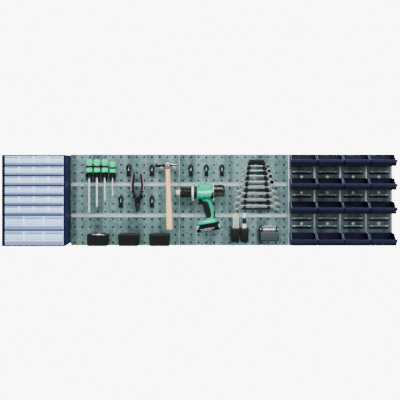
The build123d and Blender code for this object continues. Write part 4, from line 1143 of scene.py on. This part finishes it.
def rack():
    """Two uprights with a seat scooped out at each spanner, a domed top bar and a flat bottom bar."""
    shapes = [slab([(232.4, 176), (313.6, 176), (311, 190), (305, 197), (241, 197), (235, 190)], FRONT - 22,
        FRONT - 0.3, 4, 2), slab([(244, 180), (302, 180), (300, 192), (246, 192)], FRONT - 23.4, FRONT - 20, 3,
        1.2)]
    stops = [180] + [0.5 * (a[0] + b[0]) for a, b in zip(SPANNERS, SPANNERS[1:])] + [-46]
    for side in (-1, 1):
        back = [(rack_edge(z, side) - 7, z) for z in (180, -46)] + [(rack_edge(z, side) + 7, z)
            for z in (-46, 180)]
        shapes.append(slab(back, FRONT - 12, FRONT - 0.3, 1, 0.8))
        for (z, length), upper, lower in zip(SPANNERS, stops, stops[1:]):
            half = length * 0.025 + 0.8
            for top, foot in ((upper - 1.2, z + half), (z - half, lower + 1.2)):
                if top - foot > 2:
                    centre = rack_edge((top + foot) / 2, side)
                    shapes.append(block((centre - 8.4, FRONT - 22, foot), (centre + 8.4, FRONT - 2, top), 3,
                        1.4, "y"))
        for z, length in SPANNERS:
            centre, half, back = rack_edge(z, side), length * 0.025, FRONT - 17 - length * 0.012
            shapes.append(block((centre - 6, back - 2.6, z - half - 3),
                (centre + 6, back - 0.3, z + half * 0.3), 2, 0.8, "y"))
    # painted shade: black bars across the rack under four of the spanners, where their shadows fall
    for (z, length), (below, _) in zip(SPANNERS, SPANNERS[1:]):
        if z in (143, 89, 61, 1):
            level = (z + below) / 2 + 3
            shapes.append(block((rack_edge(level, -1), FRONT - 9, level - 3),
                (rack_edge(level, 1), FRONT - 3, level + 3), 1, 0.8, "y"))
    shapes.append(block((rack_edge(-46, -1) - 6, FRONT - 20, -47), (rack_edge(-46, 1) + 6, FRONT - 1, -39), 2,
        1.2, "y"))
    piece("rack_body", total(shapes), BLACK, nodes=["spanner_rack"])


def spanners():
    """Ring with a faceted bore at the left, raised necks, a plain shank, open jaw cut at fifteen degrees."""
    shapes = []
    for z, length in SPANNERS:
        radius, half, thick = length * 0.078, length * 0.025, 3.5 + length * 0.012
        back = FRONT - 13.5
        front = back - thick
        left, right = RACK_X - length / 2 + radius, RACK_X + length / 2 - radius
        bore = circle(left, z, radius * 0.6, 48)
        angle = np.linspace(0, 2 * math.pi, 48, endpoint=False)
        bore = (bore - [left, z]) * (1 + 0.05 * np.cos(12 * angle))[:, None] + [left, z]
        shapes.append(ring_plate(circle(left, z, radius, 48), bore, front - 0.8, back, 1.2))
        shank = [(left + radius * 0.8, z - half * 1.5), (left + radius * 1.7, z - half),
            (right - radius * 1.6, z - half), (right - radius * 0.7, z - half * 1.7),
            (right - radius * 0.7, z + half * 1.7), (right - radius * 1.6, z + half),
            (left + radius * 1.7, z + half), (left + radius * 0.8, z + half * 1.5)]
        shapes.append(slab(shank, front, back, 3, 1.4))
        jaw = [(-0.92, -0.45), (-0.55, -0.95), (0.2, -1.12), (0.95, -0.78), (1.0, -0.5), (0.1, -0.5),
            (-0.16, -0.2), (-0.16, 0.2), (0.1, 0.5), (1.0, 0.5), (0.95, 0.78), (0.2, 1.12), (-0.55, 0.95),
            (-0.92, 0.45)]
        shape = slab([(right + radius * a, z + radius * b) for a, b in jaw], front - 0.4, back, radius * 0.12,
            1)
        shapes.append(shape.turned(15, (right, back, z)))
    piece("spanner_set", total(shapes), CHROME, nodes=["spanners"])


CUP_FOOT, CUP_TOP = (corner[2] for corner in corners("pen_cups"))


def cups():
    """Ribbed cups with a rolled rim, on a plate."""
    shapes = []
    for left, width in CUPS:
        low, high = (left, FRONT - 46, CUP_FOOT), (left + width, FRONT - 3, CUP_TOP)
        shapes.append(open_box(low, high, 2.2, 6, 1.5))
        shapes.append(rolled_rim(low[:2], high[:2], 0.2, CUP_TOP - 0.8, 1.4))
        count = int(width / 5.5)
        for index in range(count):
            x = left + (index + 0.5) * width / count
            shapes.append(tube([(x, FRONT - 44.6, CUP_FOOT + 4), (x, FRONT - 46.1, CUP_TOP - 8)], 1.3, 8))
        shapes.append(block((left + 8, FRONT - 3.4, CUP_FOOT + 8),
            (left + width - 8, FRONT - 0.2, CUP_TOP - 8), 2, 0.8, "y"))
    piece("ribbed_cups", total(shapes), BLACK, nodes=["pen_cups"])


def pencils():
    """Hexagonal pencils with sharpened ends up, and a marker with its cap up."""
    floor = CUP_FOOT + 2.7
    for number, (x, y, lean, top, finish) in enumerate(((159, -40, 0.03, -60, PENCIL_A),
            (170, -50, 0.02, -56, PENCIL_B), (179, -34, 0.03, -68, PENCIL_A))):
        reach = top - floor - 0.6
        shaft = spun([(0, 3.2), (0.6, 3.7), (reach - 16, 3.7), (reach - 15, 3.5)], (x, y, floor + 0.6),
            segments=6)
        cone = spun([(reach - 15, 3.5), (reach - 4, 1.3)], (x, y, floor + 0.6), segments=20)
        lead = spun([(reach - 4.2, 1.3), (reach, 0.5)], (x, y, floor + 0.6), segments=12)
        angle, centre = math.degrees(lean), (x, y, floor + 0.6)
        nodes = ["pens"] if number == 0 else []
        piece(f"pencil_{number + 1}", shaft.turned(angle, centre), finish, nodes=nodes, sharp=25)
        piece(f"pencil_{number + 1}_cone", cone.turned(angle, centre), WOOD)
        piece(f"pencil_{number + 1}_lead", lead.turned(angle, centre), BLACK)
    place = (213, -44, 0)
    piece("marker_barrel", spun([(floor, 9.4), (floor + 1, 10.4), (-116, 10.4), (-115, 9.6)], place), WHITE)
    piece("marker_band", spun([(-115.4, 8.8), (-115, 9.4), (-87, 9), (-86, 8.2)], place), BLACK)
    piece("marker_cap", spun([(-86.4, 7.8), (-86, 8.2), (-70, 7.9), (-66, 7.4), (-64.4, 6), (-64, 2)], place)
        + block((205.6, -54.4, -84), (208.4, -51, -68), 1, 0.7), WHITE)


def bit_case():
    """Grey case with a light tray on top that the bits stand in, in a black cradle with two cheeks."""
    x0, x1, y0, y1, z0, z1 = 291, 375, -62, -24, -194, -138
    case = open_box((x0, y0, z0), (x1, y1, z1 - 12), 3, 3, 1)
    face = block((x0 + 8, y0 - 0.8, z0 + 8), (x1 - 8, y0 + 1, z1 - 20), 3, 0.8, "y")
    piece("case_body", case + face, GREY, "bit_box", ["bit_box"])
    tray = block((x0 + 1.4, y0 + 1.4, z1 - 15), (x1 - 1.4, y1 - 1.4, z1 - 7), 3, 1)
    lip = open_box((x0 + 0.4, y0 + 0.4, z1 - 7), (x1 - 0.4, y1 - 0.4, z1), 1.8, 3)
    piece("case_tray", lip, PALE, "bit_box")
    piece("case_bed", tray, BLACK, "bit_box")
    clamps = [slab([(x, z1 - 13), (x + 11, z1 - 13), (x + 9, z1 + 6), (x + 5, z1 + 11), (x + 2, z1 + 6)],
        y0 - 1.8, y0 + 8, 2, 1) for x in (x0 + 1, x1 - 14)]
    piece("case_clamps", total(clamps), BLACK, "bit_box")
    bits, sockets = [], []
    for y in (y0 + 12, y1 - 12):
        for index in range(8):
            x, top = x0 + 12 + index * (x1 - x0 - 24) / 7, z1 + 12 + (index * 5) % 7
            hexagon = spun([(z1 - 12, 3.4), (top - 9, 3.4), (top - 8, 2.8)], (x, y, 0), segments=6)
            bits.append(hexagon + spun([(top - 8.4, 2.2), (top - 3, 2), (top, 1.2)], (x, y, 0), segments=14))
            sockets.append(spun([(z1 - 8, 4.8), (z1 - 3, 4.6), (z1 - 2, 3.9)], (x, y, 0), segments=20))
    piece("case_bits", total(bits), CHROME, "bit_box", sharp=25)
    piece("case_sockets", total(sockets), NAVY, "bit_box")
    cradle = block((x0 - 4, -23.4, z0 - 3), (x1 + 4, FRONT - 0.2, z0 + 60), 3, 0.8, "y")
    cradle = cradle + block((x0 - 4, y0 + 6, z0 - 3), (x1 + 4, FRONT - 1, z0 - 0.5), 3, 0.8)
    # A black wedge on the left: partly the cradle's slanted cheek, partly painted shade of the case beside it.
    wedge = [(y0 + 8, z0 - 3), (FRONT - 1, z0 - 3), (FRONT - 1, z0 + 52), (-30, z0 + 46)]
    cradle = cradle + slab(wedge, x0 - 12, x0 - 4, 4, 1.5, "x")
    for low in (x0 - 4, x1 + 0.7):
        cheek = [(y0 + 6, z0 - 3), (FRONT - 1, z0 - 3), (FRONT - 1, z0 + 40), (-26, z0 + 38), (y0 + 8, z0 + 20)]
        cradle = cradle + slab(cheek, low, low + 3.2, 4, 0.8, "x")
    piece("case_cradle", cradle, BLACK, nodes=["bit_bracket"])


# ------------------------------------------------------------------ assembly
liners()
screws()
louvre_trim()
drawers()
cabinet_rims()
bins()
trays()
tray_goods()
spring_clips()
screwdriver_holders()
hooks()
screwdrivers()
hammer()
pliers()
drill_motor()
drill_trim()
drill_ends()
drill_moving_parts()
rack()
spanners()
cups()
pencils()
bit_case()
for node in PANELS[:2] + ("rear_channels",):
    repaint(node, ZINC)
repaint("bin_panel", DARK_ZINC)
repaint("panel_rails", RAIL)
repaint("cabinet_shell", NAVY_PAINT)
repaint("cabinet_shelves", NAVY_PAINT)


# ------------------------------------------------------------------ floor, light, camera
def floor():
    """A plain plate well below the object."""
    plain = block((-3000, -2300, -1170), (3000, 500, -1150), 20, 5)
    mesh_object("studio_floor", plain, Finish("floor_paint", tone(226, 226, 224), 0.7))


def area_light(name, place, target, size, power):
    """A square lamp at a place, turned to face a target."""
    lamp = bpy.data.lights.new(name, "AREA")
    lamp.shape = "RECTANGLE"
    lamp.size, lamp.size_y = size
    lamp.energy = power
    made = bpy.data.objects.new(name, lamp)
    made.location = place
    direction = np.array(target, float) - np.array(place, float)
    yaw = math.atan2(direction[1], direction[0]) - math.pi / 2
    pitch = math.atan2(direction[2], math.hypot(direction[0], direction[1])) + math.pi / 2
    made.rotation_euler = (pitch, 0.0, yaw)
    bpy.context.scene.collection.objects.link(made)


def world(backdrop, fill):
    """White behind the object, and a softer even light on it."""
    made = bpy.data.worlds.new("studio_air")
    made.use_nodes = True
    tree = made.node_tree
    seen = tree.nodes["Background"]
    seen.inputs["Color"].default_value = (1, 1, 1, 1)
    seen.inputs["Strength"].default_value = backdrop
    soft = tree.nodes.new("ShaderNodeBackground")
    soft.inputs["Color"].default_value = (0.93, 0.97, 1, 1)
    soft.inputs["Strength"].default_value = fill
    choice = tree.nodes.new("ShaderNodeMixShader")
    path = tree.nodes.new("ShaderNodeLightPath")
    tree.links.new(path.outputs["Is Camera Ray"], choice.inputs[0])
    tree.links.new(soft.outputs[0], choice.inputs[1])
    tree.links.new(seen.outputs[0], choice.inputs[2])
    tree.links.new(choice.outputs[0], tree.nodes["World Output"].inputs["Surface"])
    bpy.context.scene.world = made


def camera():
    """Level, square to the wall, a little above the middle of the panels."""
    lens = bpy.data.cameras.new("studio_camera")
    lens.lens = 65.4
    lens.sensor_width = 36
    lens.shift_y = -0.0775
    made = bpy.data.objects.new("studio_camera", lens)
    made.location = (-0.003, -3.58, 0.1515)
    made.rotation_euler = (math.pi / 2, 0, 0)
    bpy.context.scene.collection.objects.link(made)
    bpy.context.scene.camera = made


floor()
world(9.0, 0.34)
area_light("top_box", (0.0, -2.0, 2.2), (0, 0, 0.0), (3.8, 1.2), 190)
area_light("left_box", (-3.4, -3.0, 1.2), (-0.4, 0, 0), (1.4, 1.8), 60)
area_light("right_box", (3.4, -3.0, 1.2), (0.4, 0, 0), (1.4, 1.8), 40)
camera()
